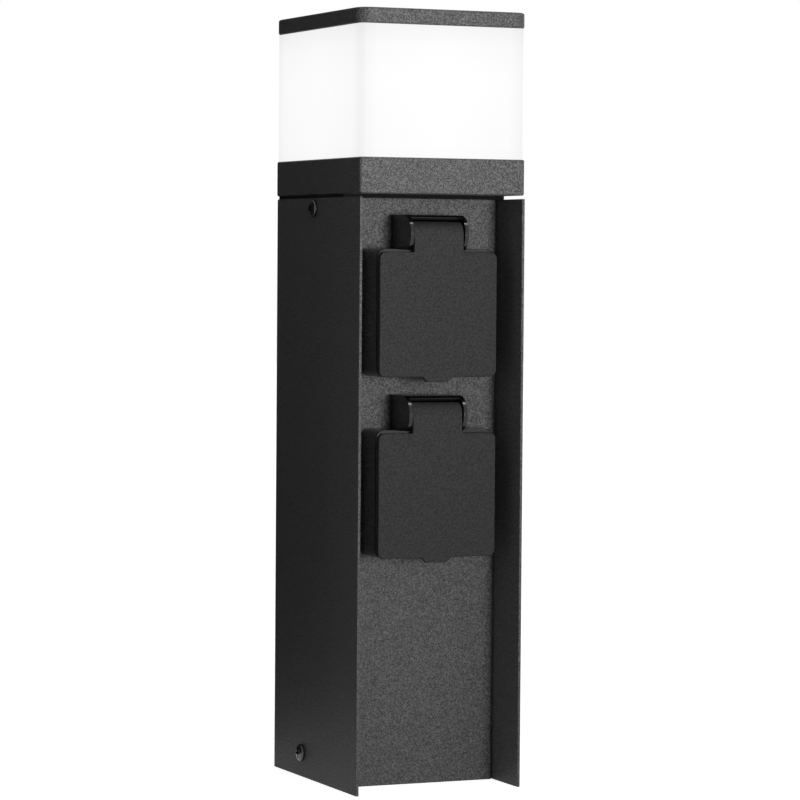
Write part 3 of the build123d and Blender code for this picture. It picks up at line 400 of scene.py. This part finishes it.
class POST_OT_column(bpy.types.Operator):
    """Coats the folded column and its panel, and finishes the plates and rubber seals"""

    bl_idname = "socket_post.column"
    bl_label = "Column and base"

    def execute(self, context):
        finishes = context.scene.socket_post.finishes
        give(coated_sheet(finishes), "body_channel", "front_panel")
        give(galvanised_steel(), "base_plate", "deck_plate")
        seals = ("inlet_grommet", "head_seal", "lower_lens_seal", "upper_lens_seal")
        give(moulded_rubber(), *seals, *in_sockets("flange_seal", "flap_seal"))
        return {"FINISHED"}


# Finishes of the head


def coated_casting(settings):
    """Cast collar and cap."""
    # Die-cast aluminium, powder coated like the column: a little smoother, so its sheen is tighter
    return coated("Powder-coated cast aluminium", settings, roughness=0.5, specular=0.22)


def lit_opal_acrylic(glow):
    """Square sleeve of the diffuser."""
    # Extruded opal acrylic lit from inside: white, dimmer under the cap and along its corners
    opal, tree, surface = new_material(
        "Lit opal acrylic",
        {
            "Base Color": linear("#262626"),
            "Roughness": 0.4,
            "IOR": 1.49,
            "Specular IOR Level": 0.1,
            "Emission Strength": glow,
        },
    )
    middle = (diffuser_low + diffuser_high) / 2
    half_size = (diffuser_high - diffuser_low) / 2
    place = add_node(tree, "ShaderNodeTexCoord").outputs["Object"]
    centred = add_node(tree, "ShaderNodeVectorMath", {"operation": "SUBTRACT", 0: place, 1: middle})
    shares = add_node(tree, "ShaderNodeVectorMath", {"operation": "DIVIDE", 0: centred, 1: half_size})
    x, y, z = add_node(tree, "ShaderNodeSeparateXYZ", {0: shares}).outputs
    across = add_node(tree, "ShaderNodeMath", {"operation": "MULTIPLY", 0: x, 1: y})
    corner = add_node(tree, "ShaderNodeMath", {"operation": "ABSOLUTE", 0: across})
    height = add_node(tree, "ShaderNodeMath", {"operation": "MULTIPLY_ADD", 0: z, 1: 0.5, 2: 0.5})
    middle_to_corner = ((0.0, "#ffffff"), (0.8, "#fcfcfc"), (1.0, "#f4f4f4"))
    foot_to_cap = (
        (0.0, "#fbfbfb"), (0.1, "#fdfdfd"), (0.6, "#ffffff"), (0.85, "#fcfcfc"), (1.0, "#f4f4f4"),
    )
    sides = add_node(tree, "ShaderNodeValToRGB", {"Fac": corner, "stops": middle_to_corner})
    levels = add_node(tree, "ShaderNodeValToRGB", {"Fac": height, "stops": foot_to_cap})
    both = add_node(
        tree,
        "ShaderNodeMix",
        {"data_type": "RGBA", "blend_type": "MULTIPLY", 0: 1.0, 6: sides, 7: levels},
    )
    tree.links.new(both.outputs[2], surface.inputs["Emission Color"])
    return opal


def solder_mask():
    """Light board."""
    # White solder mask on an aluminium core: smooth, slightly glossy
    board, tree, surface = new_material(
        "White solder mask", {"Base Color": linear("#eeeeea"), "Roughness": 0.35}
    )
    grain(tree, surface, size_mm=2.0, height_mm=0.01)
    return board


def phosphor_silicone():
    """Light sources on the board."""
    # Silicone with phosphor cast in each chip: warm yellow, glowing
    phosphor, tree, surface = new_material(
        "Phosphor silicone",
        {
            "Base Color": linear("#f0dc8c"),
            "Roughness": 0.5,
            "Emission Color": linear("#fff3cf"),
            "Emission Strength": 2.0,
        },
    )
    grain(tree, surface, size_mm=0.3, height_mm=0.01)
    return phosphor


def white_abs():
    """Cases of the driver and the terminal block."""
    # Moulded ABS: off-white, with a fine spark texture
    case, tree, surface = new_material(
        "Moulded white ABS", {"Base Color": linear("#dcdbd6"), "Roughness": 0.55, "IOR": 1.53}
    )
    grain(tree, surface, size_mm=0.4, height_mm=0.02, edge_mm=0.3)
    return case


class POST_OT_head(bpy.types.Operator):
    """Finishes the cast collar and cap, the lit diffuser, the light source and the white cases"""

    bl_idname = "socket_post.head"
    bl_label = "Lantern head"

    def execute(self, context):
        finishes = context.scene.socket_post.finishes
        give(coated_casting(finishes), "collar", "top_cap")
        give(lit_opal_acrylic(finishes.glow), "diffuser")
        give(solder_mask(), "led_board")
        give(phosphor_silicone(), "led_chips")
        give(white_abs(), "led_driver", "terminal_block")
        return {"FINISHED"}


# Finishes of the sockets


def glossy_polycarbonate():
    """Socket housings."""
    # Polycarbonate moulded in a polished tool: near black with sharp highlights along its rims
    gloss, tree, surface = new_material(
        "Glossy black polycarbonate",
        {
            "Base Color": linear("#100e0f"),
            "Roughness": 0.18,
            "IOR": 1.58,
            "Specular IOR Level": 0.35,
        },
    )
    grain(tree, surface, size_mm=6.0, height_mm=0.02, detail=1.0, edge_mm=0.3)
    return gloss


def spark_textured_polypropylene():
    """Sprung lids."""
    # Polypropylene moulded in a spark-eroded tool: dark grey and dry. The real texture is about
    # 0.1 mm wide and is drawn coarser, so that it shows.
    lid, tree, surface = new_material(
        "Spark-textured polypropylene",
        {
            "Base Color": linear("#202021"),
            "Roughness": 0.72,
            "IOR": 1.49,
            "Specular IOR Level": 0.3,
        },
    )
    noise = grain(tree, surface, size_mm=0.35, height_mm=0.05, edge_mm=0.3)
    # The colour follows the texture: darker in its pits as painted shade, lighter on its bumps as
    # painted glints
    speckle(tree, surface, noise, "#141415", "#343435")
    return lid


def filled_polyamide():
    """Contact carriers behind the panel."""
    # Moulded glass-filled polyamide: matt black with faint flow marks
    carrier, tree, surface = new_material(
        "Glass-filled polyamide", {"Base Color": linear("#232222"), "Roughness": 0.6, "IOR": 1.53}
    )
    grain(tree, surface, size_mm=0.6, height_mm=0.03, edge_mm=0.2)
    return carrier


def drawn_brass():
    """Contacts."""
    # Drawn brass: bright yellow metal with a faint relief
    brass, tree, surface = new_material(
        "Drawn brass", {"Base Color": linear("#d9b45f"), "Metallic": 1.0, "Roughness": 0.28}
    )
    grain(tree, surface, size_mm=0.5, height_mm=0.01)
    return brass


def ground_stainless():
    """Hinge pins and lid springs; made once."""
    known = bpy.data.materials.get("Ground stainless steel")
    if known:
        return known
    # Ground stainless steel: grey metal with an even soft gloss
    steel, tree, surface = new_material(
        "Ground stainless steel",
        {"Base Color": linear("#b4b4b2"), "Metallic": 1.0, "Roughness": 0.3},
    )
    grain(tree, surface, size_mm=0.3, height_mm=0.005)
    return steel


class POST_OT_sockets(bpy.types.Operator):
    """Finishes the two sprung-lid socket modules"""

    bl_idname = "socket_post.sockets"
    bl_label = "Socket modules"

    def execute(self, context):
        give(glossy_polycarbonate(), *in_sockets("socket_housing"))
        give(spark_textured_polypropylene(), *in_sockets("flap"))
        give(filled_polyamide(), *in_sockets("terminal_base"))
        give(drawn_brass(), *in_sockets("pin_contacts", "earth_contact"))
        give(ground_stainless(), *in_sockets("hinge_pin"))
        return {"FINISHED"}


# Finishes of the wiring


def insulation(name, code):
    """Cores and leads of one colour."""
    # Extruded soft PVC insulation: smooth with a satin shine
    pvc, tree, surface = new_material(
        name, {"Base Color": linear(code), "Roughness": 0.4, "IOR": 1.53}
    )
    grain(tree, surface, size_mm=1.0, height_mm=0.01)
    return pvc


def earth_insulation():
    """Earth cores."""
    # Extruded in two colours: green on the left of the post's middle and yellow on the right of it
    pvc, tree, surface = new_material(
        "Green and yellow PVC insulation",
        {"Base Color": linear("#5c9a2e"), "Roughness": 0.4, "IOR": 1.53},
    )
    place = add_node(tree, "ShaderNodeTexCoord").outputs["Object"]
    x, _, _ = add_node(tree, "ShaderNodeSeparateXYZ", {0: place}).outputs
    right = add_node(tree, "ShaderNodeMath", {"operation": "GREATER_THAN", 0: x, 1: 0.0})
    speckle(tree, surface, right, "#3f8a33", "#e3cf2a")
    return pvc


class POST_OT_wiring(bpy.types.Operator):
    """Colours the insulated cores and leads"""

    bl_idname = "socket_post.wiring"
    bl_label = "Wiring"

    def execute(self, context):
        give(insulation("Brown PVC insulation", "#6b3d22"), "live_wires")
        give(insulation("Blue PVC insulation", "#2a63b4"), "neutral_wires")
        give(insulation("White PVC insulation", "#e9e9e6"), "led_leads")
        give(earth_insulation(), "earth_wires")
        return {"FINISHED"}


# Trees and what grows from them


def open_tree(name, inputs, output):
    """A Geometry Nodes tree that takes places and named inputs; returns it with those sockets."""
    tree = bpy.data.node_groups.new(name, "GeometryNodeTree")
    for label, kind in {"Places": "Geometry", **inputs}.items():
        tree.interface.new_socket(label, in_out="INPUT", socket_type=f"NodeSocket{kind}")
    tree.interface.new_socket(output, in_out="OUTPUT", socket_type="NodeSocketGeometry")
    return tree, add_node(tree, "NodeGroupInput").outputs


def close_tree(tree, placed, material):
    """Ends a tree: makes its instances real and gives them their material."""
    real = add_node(tree, "GeometryNodeRealizeInstances", {0: placed})
    painted = add_node(tree, "GeometryNodeSetMaterial", {0: real, "Material": material})
    add_node(tree, "NodeGroupOutput", {0: painted})


# Distance under which points of a grown piece are merged, and angle that stays a sharp edge on it
WELD = 0.0005 * MM
SHARP_ANGLE = math.radians(35)


def grown(name, places, facings, tree, inputs):
    """Runs a tree on points that face given ways and returns a plain mesh object."""
    seedling = bpy.data.meshes.new(name + " places")
    seedling.from_pydata(places, [], [])
    facing = seedling.attributes.new("facing", "FLOAT_VECTOR", "POINT")
    for i, way in enumerate(facings):
        facing.data[i].vector = way
    holder = bpy.data.objects.new(name + " places", seedling)
    bpy.context.scene.collection.objects.link(holder)
    modifier = holder.modifiers.new("Tree", "NODES")
    modifier.node_group = tree
    for socket in tree.interface.items_tree:
        if socket.in_out == "INPUT" and socket.name in inputs:
            modifier[socket.identifier] = inputs[socket.name]
    graph = bpy.context.evaluated_depsgraph_get()
    mesh = bpy.data.meshes.new_from_object(holder.evaluated_get(graph))
    holder.modifiers.remove(modifier)
    bpy.data.objects.remove(holder)
    if not mesh.polygons:
        raise RuntimeError(f"{name} came out empty")
    welded = bmesh.new()
    welded.from_mesh(mesh)
    bmesh.ops.remove_doubles(welded, verts=welded.verts, dist=WELD)
    bmesh.ops.recalc_face_normals(welded, faces=welded.faces)
    welded.to_mesh(mesh)
    welded.free()
    mesh.shade_smooth()
    mesh.set_sharp_from_angle(angle=SHARP_ANGLE)
    made = bpy.data.objects.new(name, mesh)
    bpy.context.scene.collection.objects.link(made)
    return made


# Screws

# Flat of the tip as a share of the shank's radius, and its chamfer as a share of that radius
TIP_FLAT = 0.8
TIP_CHAMFER = 0.3

# Seat of the head as a share of its radius, and shares of its height: the ease at the seat's edge
# and the wall under the crown
SEAT_FLAT = 0.96
SEAT_EASE = 0.08
HEAD_WALL = 0.45

# Angles at which the crown's outline has its points, in degrees
CROWN_ANGLES = (0, 12, 26, 42, 60, 78)

# Radius of the fine ring that carries the outline round, too small to see
CORE = 0.002 * MM

# A slot's length as a share of the head's width, past both its sides, and its depth as a share of
# the head's height
SLOT_SPAN = 1.1
SLOT_DEPTH = 0.5


def screw_body(tree, given):
    """Head and shank of the screw, turned from half an outline."""
    shank = add_node(
        tree, "ShaderNodeCombineXYZ", {0: given["Shank Radius"], 1: given["Shank Length"]}
    )
    head = add_node(tree, "ShaderNodeCombineXYZ", {0: given["Head Radius"], 1: given["Head Height"]})
    chamfer_at = add_node(
        tree,
        "ShaderNodeMath",
        {
            "operation": "MULTIPLY_ADD",
            0: given["Shank Radius"],
            1: -TIP_CHAMFER,
            2: given["Shank Length"],
        },
    )
    chamfer = add_node(tree, "ShaderNodeCombineXYZ", {0: given["Shank Radius"], 1: chamfer_at})
    crown = []
    for angle in map(math.radians, CROWN_ANGLES):
        crown.append((head, math.cos(angle), -HEAD_WALL - (1 - HEAD_WALL) * math.sin(angle)))
    # Each point is a size with a share of its radius out and a share of its length down from the
    # seat, from the tip to the crown
    outline = (
        (shank, 0.0, 1.0),
        (shank, TIP_FLAT, 1.0),
        (chamfer, 1.0, 1.0),
        (shank, 1.0, 0.0),
        (head, SEAT_FLAT, 0.0),
        (head, 1.0, -SEAT_EASE),
        *crown,
        (head, 0.0, -1.0),
    )
    dots = []
    for size, out, down in outline:
        shares = (out, down, 0.0)
        at = add_node(tree, "ShaderNodeVectorMath", {"operation": "MULTIPLY", 0: size, 1: shares})
        dots.append(add_node(tree, "GeometryNodePoints", {"Count": 1, "Position": at}))
    row = add_node(tree, "GeometryNodeJoinGeometry")
    # The joining node takes its last link first
    for dot in reversed(dots):
        tree.links.new(dot.outputs[0], row.inputs[0])
    half = add_node(tree, "GeometryNodePointsToCurves", {0: row})
    ring = add_node(tree, "GeometryNodeCurvePrimitiveCircle", {"Resolution": 40, "Radius": CORE})
    body = add_node(tree, "GeometryNodeCurveToMesh", {"Curve": ring, "Profile Curve": half})
    return add_node(tree, "GeometryNodeMergeByDistance", {0: body, "Distance": 4 * CORE})


def recessed(tree, given, body):
    """The screw with its recess: one bar cut out for a slot, two crossed bars for a cross."""
    head_height = given["Head Height"]
    head = add_node(
        tree,
        "ShaderNodeCombineXYZ",
        {0: given["Head Radius"], 1: given["Head Radius"], 2: head_height},
    )
    crown = add_node(tree, "ShaderNodeCombineXYZ", {2: head_height})
    cuts = [body]
    for x_share, y_share in (("Recess Span", "Recess Width"), ("Recess Width", "Recess Span")):
        shares = add_node(
            tree,
            "ShaderNodeCombineXYZ",
            {0: given[x_share], 1: given[y_share], 2: given["Recess Depth"]},
        )
        half = add_node(tree, "ShaderNodeVectorMath", {"operation": "MULTIPLY", 0: head, 1: shares})
        whole = add_node(tree, "ShaderNodeVectorMath", {"operation": "ADD", 0: half, 1: half})
        bar = add_node(tree, "GeometryNodeMeshCube", {"Size": whole})
        moved = add_node(tree, "GeometryNodeTransform", {"Geometry": bar, "Translation": crown})
        cut = add_node(
            tree,
            "GeometryNodeMeshBoolean",
            {"operation": "DIFFERENCE", "solver": "EXACT", "Mesh 1": cuts[-1], "Mesh 2": moved},
        )
        cuts.append(cut)
    return add_node(
        tree,
        "GeometryNodeSwitch",
        {"input_type": "GEOMETRY", "Switch": given["Cross"], "False": cuts[1], "True": cuts[2]},
    )


def screw_tree(material):
    """Tree that sets a pan head screw with a cut recess on every point of a mesh."""
    sizes = (
        "Head Radius", "Head Height", "Shank Radius", "Shank Length",
        "Recess Span", "Recess Width", "Recess Depth",
    )
    inputs = {**{size: "Float" for size in sizes}, "Cross": "Bool", "Seed": "Int"}
    tree, given = open_tree("Pan head screws", inputs, "Screws")
    screw = recessed(tree, given, screw_body(tree, given))
    # Each screw faces the way stored at its place and is turned by chance about its axis
    way = add_node(
        tree, "GeometryNodeInputNamedAttribute", {"data_type": "FLOAT_VECTOR", "Name": "facing"}
    )
    faced = add_node(tree, "FunctionNodeAlignRotationToVector", {"axis": "Z", "Vector": way})
    chance = add_node(
        tree,
        "FunctionNodeRandomValue",
        {"data_type": "FLOAT", 2: 0.0, 3: math.pi / 2, "Seed": given["Seed"]},
    )
    spin = add_node(tree, "ShaderNodeCombineXYZ", {2: chance.outputs[1]})
    spin_turn = add_node(tree, "FunctionNodeEulerToRotation", {0: spin})
    both = add_node(
        tree,
        "FunctionNodeRotateRotation",
        {"rotation_space": "LOCAL", "Rotation": faced, "Rotate By": spin_turn},
    )
    placed = add_node(
        tree,
        "GeometryNodeInstanceOnPoints",
        {"Points": given["Places"], "Instance": screw, "Rotation": both},
    )
    close_tree(tree, placed, material)
    return tree


def zinc_plated_steel():
    """Screws, rods and nuts inside."""
    # Zinc-plated steel: bright bluish grey metal with a soft gloss
    zinc, tree, surface = new_material(
        "Zinc-plated steel", {"Base Color": linear("#c3c6c9"), "Metallic": 1.0, "Roughness": 0.32}
    )
    grain(tree, surface, size_mm=0.4, height_mm=0.005)
    return zinc


def blackened_stainless():
    """Side screws."""
    # Blackened stainless steel: dark metal that only glints
    black, tree, surface = new_material(
        "Blackened stainless steel",
        {"Base Color": linear("#565353"), "Metallic": 1.0, "Roughness": 0.26},
    )
    grain(tree, surface, size_mm=0.4, height_mm=0.005)
    return black


# Each screw node, whether its recess is a cross, and its slot in the record
SCREW_NODES = {
    "side_screws": (True, "stainless_steel"),
    "earth_screw": (True, "zinc_plated_steel"),
    "terminal_block_screws": (True, "zinc_plated_steel"),
    "terminal_clamps": (False, "zinc_plated_steel"),
    "deck_screws": (True, "zinc_plated_steel"),
    "led_board_screws": (True, "zinc_plated_steel"),
    "driver_screws": (True, "zinc_plated_steel"),
    **{name: (True, "zinc_plated_steel") for name in in_sockets("housing_screws")},
    **{name: (False, "zinc_plated_steel") for name in in_sockets("contact_screws")},
    **{name: (True, "zinc_plated_steel") for name in in_sockets("centre_screw")},
}


class POST_OT_screws(bpy.types.Operator):
    """Sets recessed pan head screws in place of the plain ones, and plates the rods and nuts"""

    bl_idname = "socket_post.screws"
    bl_label = "Screws"

    def execute(self, context):
        sizes = context.scene.socket_post.screws
        zinc = zinc_plated_steel()
        trees = {
            "stainless_steel": screw_tree(blackened_stainless()),
            "zinc_plated_steel": screw_tree(zinc),
        }
        give(zinc, "tie_rods", "tie_rod_nuts")
        for node, (cross, slot) in SCREW_NODES.items():
            found = [screw_measures(points) for points in islands(node)]
            if not found:
                raise RuntimeError(f"{node} has no screw in it")
            _, _, head_radius, head_height, shank_radius, shank_length = found[0]
            made = grown(
                node + "_recessed",
                [screw[0] for screw in found],
                [screw[1] for screw in found],
                trees[slot],
                {
                    "Head Radius": head_radius,
                    "Head Height": head_height,
                    "Shank Radius": shank_radius,
                    "Shank Length": shank_length,
                    "Recess Span": sizes.recess_span if cross else SLOT_SPAN,
                    "Recess Width": sizes.recess_width,
                    "Recess Depth": sizes.recess_depth if cross else SLOT_DEPTH,
                    "Cross": cross,
                    "Seed": sizes.seed + len(found),
                },
            )
            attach(made, "post")
            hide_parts(node)
        return {"FINISHED"}


# Springs


def spring_wires(tree, given):
    """Middle line of the spring: its coil round the Z axis and two straight legs."""
    radius, length = given["Coil Radius"], given["Coil Length"]
    low = add_node(tree, "ShaderNodeMath", {"operation": "MULTIPLY", 0: length, 1: -0.5})
    high = add_node(tree, "ShaderNodeMath", {"operation": "MULTIPLY", 0: length, 1: 0.5})
    coil = add_node(
        tree,
        "GeometryNodeCurveSpiral",
        {
            "Resolution": 28,
            "Rotations": given["Turns"],
            "Start Radius": radius,
            "End Radius": radius,
            "Height": length,
        },
    )
    down = add_node(tree, "ShaderNodeCombineXYZ", {2: low})
    lowered = add_node(tree, "GeometryNodeTransform", {"Geometry": coil, "Translation": down})

    # The front leg comes in along Y to the coil's low end, which lies on the X axis
    front_end = add_node(tree, "ShaderNodeCombineXYZ", {0: radius, 2: low})
    front_start = add_node(
        tree,
        "ShaderNodeVectorMath",
        {"operation": "MULTIPLY_ADD", 0: (0.0, -1.0, 0.0), 1: given["Front Leg"], 2: front_end},
    )
    front = add_node(
        tree, "GeometryNodeCurvePrimitiveLine", {"Start": front_start, "End": front_end}
    )

    # The back leg goes straight on from where the coil ends, at a right angle to its radius
    angle = add_node(
        tree, "ShaderNodeMath", {"operation": "MULTIPLY", 0: given["Turns"], 1: 2 * math.pi}
    )
    cosine = add_node(tree, "ShaderNodeMath", {"operation": "COSINE", 0: angle})
    sine = add_node(tree, "ShaderNodeMath", {"operation": "SINE", 0: angle})
    out = add_node(tree, "ShaderNodeCombineXYZ", {0: cosine, 1: sine})
    along = add_node(
        tree, "ShaderNodeVectorMath", {"operation": "CROSS_PRODUCT", 0: (0.0, 0.0, 1.0), 1: out}
    )
    up = add_node(tree, "ShaderNodeCombineXYZ", {2: high})
    back_start = add_node(
        tree, "ShaderNodeVectorMath", {"operation": "MULTIPLY_ADD", 0: out, 1: radius, 2: up}
    )
    back_end = add_node(
        tree,
        "ShaderNodeVectorMath",
        {"operation": "MULTIPLY_ADD", 0: along, 1: given["Back Leg"], 2: back_start},
    )
    back = add_node(tree, "GeometryNodeCurvePrimitiveLine", {"Start": back_start, "End": back_end})

    wires = add_node(tree, "GeometryNodeJoinGeometry")
    for part in (front, lowered, back):
        tree.links.new(part.outputs[0], wires.inputs[0])
    return wires


def spring_tree(material):
    """Tree that sets a torsion spring with two legs on every point of a mesh."""
    sizes = ("Coil Radius", "Wire Radius", "Turns", "Coil Length", "Front Leg", "Back Leg")
    tree, given = open_tree("Torsion spring", {size: "Float" for size in sizes}, "Spring")
    ring = add_node(
        tree,
        "GeometryNodeCurvePrimitiveCircle",
        {"Resolution": 12, "Radius": given["Wire Radius"]},
    )
    spring = add_node(
        tree,
        "GeometryNodeCurveToMesh",
        {"Curve": spring_wires(tree, given), "Profile Curve": ring, "Fill Caps": True},
    )
    # The spring's own Z axis turns to the hinge axis stored at its place, and its Y axis up
    way = add_node(
        tree, "GeometryNodeInputNamedAttribute", {"data_type": "FLOAT_VECTOR", "Name": "facing"}
    )
    turned = add_node(
        tree,
        "FunctionNodeAxesToRotation",
        {
            "primary_axis": "Z",
            "secondary_axis": "Y",
            "Primary Axis": way,
            "Secondary Axis": (0.0, 0.0, 1.0),
        },
    )
    placed = add_node(
        tree,
        "GeometryNodeInstanceOnPoints",
        {"Points": given["Places"], "Instance": spring, "Rotation": turned},
    )
    close_tree(tree, placed, material)
    return tree


class POST_OT_springs(bpy.types.Operator):
    """Winds a torsion spring round each hinge pin"""

    bl_idname = "socket_post.springs"
    bl_label = "Lid springs"

    def execute(self, context):
        sizes = context.scene.socket_post.springs
        tree = spring_tree(ground_stainless())
        for s in SOCKETS:
            low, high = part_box(f"{s}_hinge_pin")
            middle = (low + high) / 2
            middle.x = 0.0
            made = grown(
                f"{s}_flap_spring_wound",
                [middle],
                [Vector((-1, 0, 0))],
                tree,
                {
                    "Coil Radius": sizes.radius,
                    "Wire Radius": sizes.wire,
                    "Turns": sizes.turns,
                    "Coil Length": sizes.length,
                    "Front Leg": sizes.front_leg,
                    "Back Leg": sizes.back_leg,
                },
            )
            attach(made, "post")
            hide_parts(f"{s}_flap_spring")
        return {"FINISHED"}


# Stage


def seen_strength(tree, strength):
    """A strength for rays that show the background, and none for the light on the post."""
    ray = add_node(tree, "ShaderNodeLightPath")
    share = ray.outputs["Is Camera Ray"]
    for kind in ("Is Glossy Ray", "Is Transmission Ray"):
        share = add_node(
            tree, "ShaderNodeMath", {"operation": "MAXIMUM", 0: share, 1: ray.outputs[kind]}
        )
    return add_node(tree, "ShaderNodeMath", {"operation": "MULTIPLY", 0: share, 1: strength})


def card(name, corners, material):
    """One flat four-cornered sheet of the stage."""
    mesh = bpy.data.meshes.new(name)
    mesh.from_pydata(corners, [], [(0, 1, 2, 3)])
    mesh.materials.append(material)
    made = bpy.data.objects.new(name, mesh)
    bpy.context.scene.collection.objects.link(made)
    return made


def lay_floor():
    """Floor of seamless paper."""
    # Seamless white paper: white to the eye, with a touch of shade under the post
    paper, tree, surface = new_material(
        "Seamless white paper", {"Base Color": linear("#e6e6e6"), "Roughness": 0.9}
    )
    glow = add_node(
        tree, "ShaderNodeEmission", {"Color": (1, 1, 1, 1), "Strength": seen_strength(tree, 0.9)}
    )
    both = add_node(tree, "ShaderNodeAddShader", {0: surface, 1: glow})
    out = next(node for node in tree.nodes if node.type == "OUTPUT_MATERIAL")
    tree.links.new(both.outputs[0], out.inputs["Surface"])
    reach = 6.0
    corners = [(-reach, -reach, 0), (reach, -reach, 0), (reach, reach, 0), (-reach, reach, 0)]
    card("studio_floor", corners, paper)


def hang_flags():
    """Two cards that lean away from the back and left of the post, hidden from the camera."""
    # Grey flocked card: dull enough to keep the post dark where it would mirror the white paper
    flock, tree, surface = new_material(
        "Grey flocked card", {"Base Color": linear("#5e5e5e"), "Roughness": 1.0}
    )
    # Corners just over the floor and at the top, from behind on the right to the front left
    foot = [(0.07, 0.13, 0.001), (-0.12, 0.12, 0.001), (-0.13, -0.06, 0.001)]
    head = [(0.14, 0.42, 0.8), (-0.42, 0.34, 0.8), (-0.5, -0.22, 0.8)]
    for i, name in enumerate(("back_flag", "left_flag")):
        flag = card(name, [foot[i], foot[i + 1], head[i + 1], head[i]], flock)
        flag.visible_camera = False


def light_all_round(fill):
    """World that lights evenly by its fill and shows white wherever it is seen."""
    world = bpy.data.worlds.new("Studio")
    bpy.context.scene.world = world
    world.use_nodes = True
    tree = world.node_tree
    tree.nodes.clear()
    even = add_node(tree, "ShaderNodeBackground", {"Color": (1, 1, 1, 1), "Strength": fill})
    white = add_node(tree, "ShaderNodeBackground", {"Color": (1, 1, 1, 1), "Strength": 1.0})
    mix = add_node(tree, "ShaderNodeMixShader", {0: seen_strength(tree, 1.0), 1: even, 2: white})
    add_node(tree, "ShaderNodeOutputWorld", {"Surface": mix})


def hang_lamp(name, power, width, place, aim, spread):
    """One square lamp at a place, faced to a point, with its spread in degrees."""
    lamp = bpy.data.lights.new(name, "AREA")
    lamp.size = width
    lamp.spread = math.radians(spread)
    lamp.energy = power
    holder = bpy.data.objects.new(name, lamp)
    bpy.context.scene.collection.objects.link(holder)
    holder.location = place
    holder.rotation_euler = (Vector(aim) - Vector(place)).to_track_quat("-Z", "Y").to_euler()


def set_camera(studio):
    """Camera at its angles and distance from the target."""
    camera = bpy.data.cameras.new("camera")
    camera.lens = studio.lens
    camera.sensor_width = 36
    camera.clip_end = 20
    a, e, r = studio.azimuth, studio.elevation, studio.roll
    back = Vector((math.sin(a) * math.cos(e), -math.cos(a) * math.cos(e), math.sin(e)))
    right = Vector((math.cos(a), math.sin(a), 0))
    up = back.cross(right)
    rolled_right = right * math.cos(r) + up * math.sin(r)
    rolled_up = up * math.cos(r) - right * math.sin(r)
    place = Matrix((rolled_right, rolled_up, back)).transposed().to_4x4()
    place.translation = Vector(studio.target) + back * studio.distance
    holder = bpy.data.objects.new("camera", camera)
    holder.matrix_world = place
    bpy.context.scene.collection.objects.link(holder)
    bpy.context.scene.camera = holder


class POST_OT_stage(bpy.types.Operator):
    """Sets the floor, the studio light and the camera"""

    bl_idname = "socket_post.stage"
    bl_label = "Studio"

    def execute(self, context):
        studio = context.scene.socket_post.studio
        lay_floor()
        hang_flags()
        light_all_round(studio.fill)
        # The narrow lamp in front faces a point above the head on the left, so that its light
        # fades down and across the post
        hang_lamp(
            "key_lamp", studio.key, width=0.5,
            place=(0.22, -2.05, 0.29), aim=(-0.12, 0.0, 0.44), spread=33,
        )
        # The two small lamps draw thin highlights along glossy and folded edges
        hang_lamp(
            "top_lamp", studio.top, width=0.22,
            place=(0.75, -0.65, 1.8), aim=studio.target, spread=180,
        )
        hang_lamp(
            "rim_lamp", studio.rim, width=0.12,
            place=(-1.4, -0.62, 0.35), aim=studio.target, spread=180,
        )
        set_camera(studio)
        context.scene.view_settings.view_transform = "Standard"
        return {"FINISHED"}


# Panel, registering and the run


STEPS = (
    POST_OT_column,
    POST_OT_head,
    POST_OT_sockets,
    POST_OT_wiring,
    POST_OT_screws,
    POST_OT_springs,
    POST_OT_stage,
)


class POST_PT_panel(bpy.types.Panel):
    """Lists the steps and the settings"""

    bl_label = "Garden Socket Post"
    bl_idname = "POST_PT_panel"
    bl_space_type = "VIEW_3D"
    bl_region_type = "UI"
    bl_category = "Socket Post"

    def draw(self, context):
        settings = context.scene.socket_post
        for step in STEPS:
            self.layout.operator(step.bl_idname)
        for group in (settings.finishes, settings.screws, settings.springs, settings.studio):
            box = self.layout.box()
            for key in group.__annotations__:
                box.prop(group, key)


CLASSES = (
    PostFinishes,
    ScrewSizes,
    SpringSizes,
    StudioSettings,
    SocketPostSettings,
    *STEPS,
    POST_PT_panel,
)


def register():
    for item in CLASSES:
        bpy.utils.register_class(item)
    bpy.types.Scene.socket_post = bpy.props.PointerProperty(type=SocketPostSettings)


def unregister():
    del bpy.types.Scene.socket_post
    for item in reversed(CLASSES):
        bpy.utils.unregister_class(item)


def main():
    register()
    bpy.ops.socket_post.column()
    bpy.ops.socket_post.head()
    bpy.ops.socket_post.sockets()
    bpy.ops.socket_post.wiring()
    bpy.ops.socket_post.screws()
    bpy.ops.socket_post.springs()
    bpy.ops.socket_post.stage()


if __name__ == "__main__":
    main()
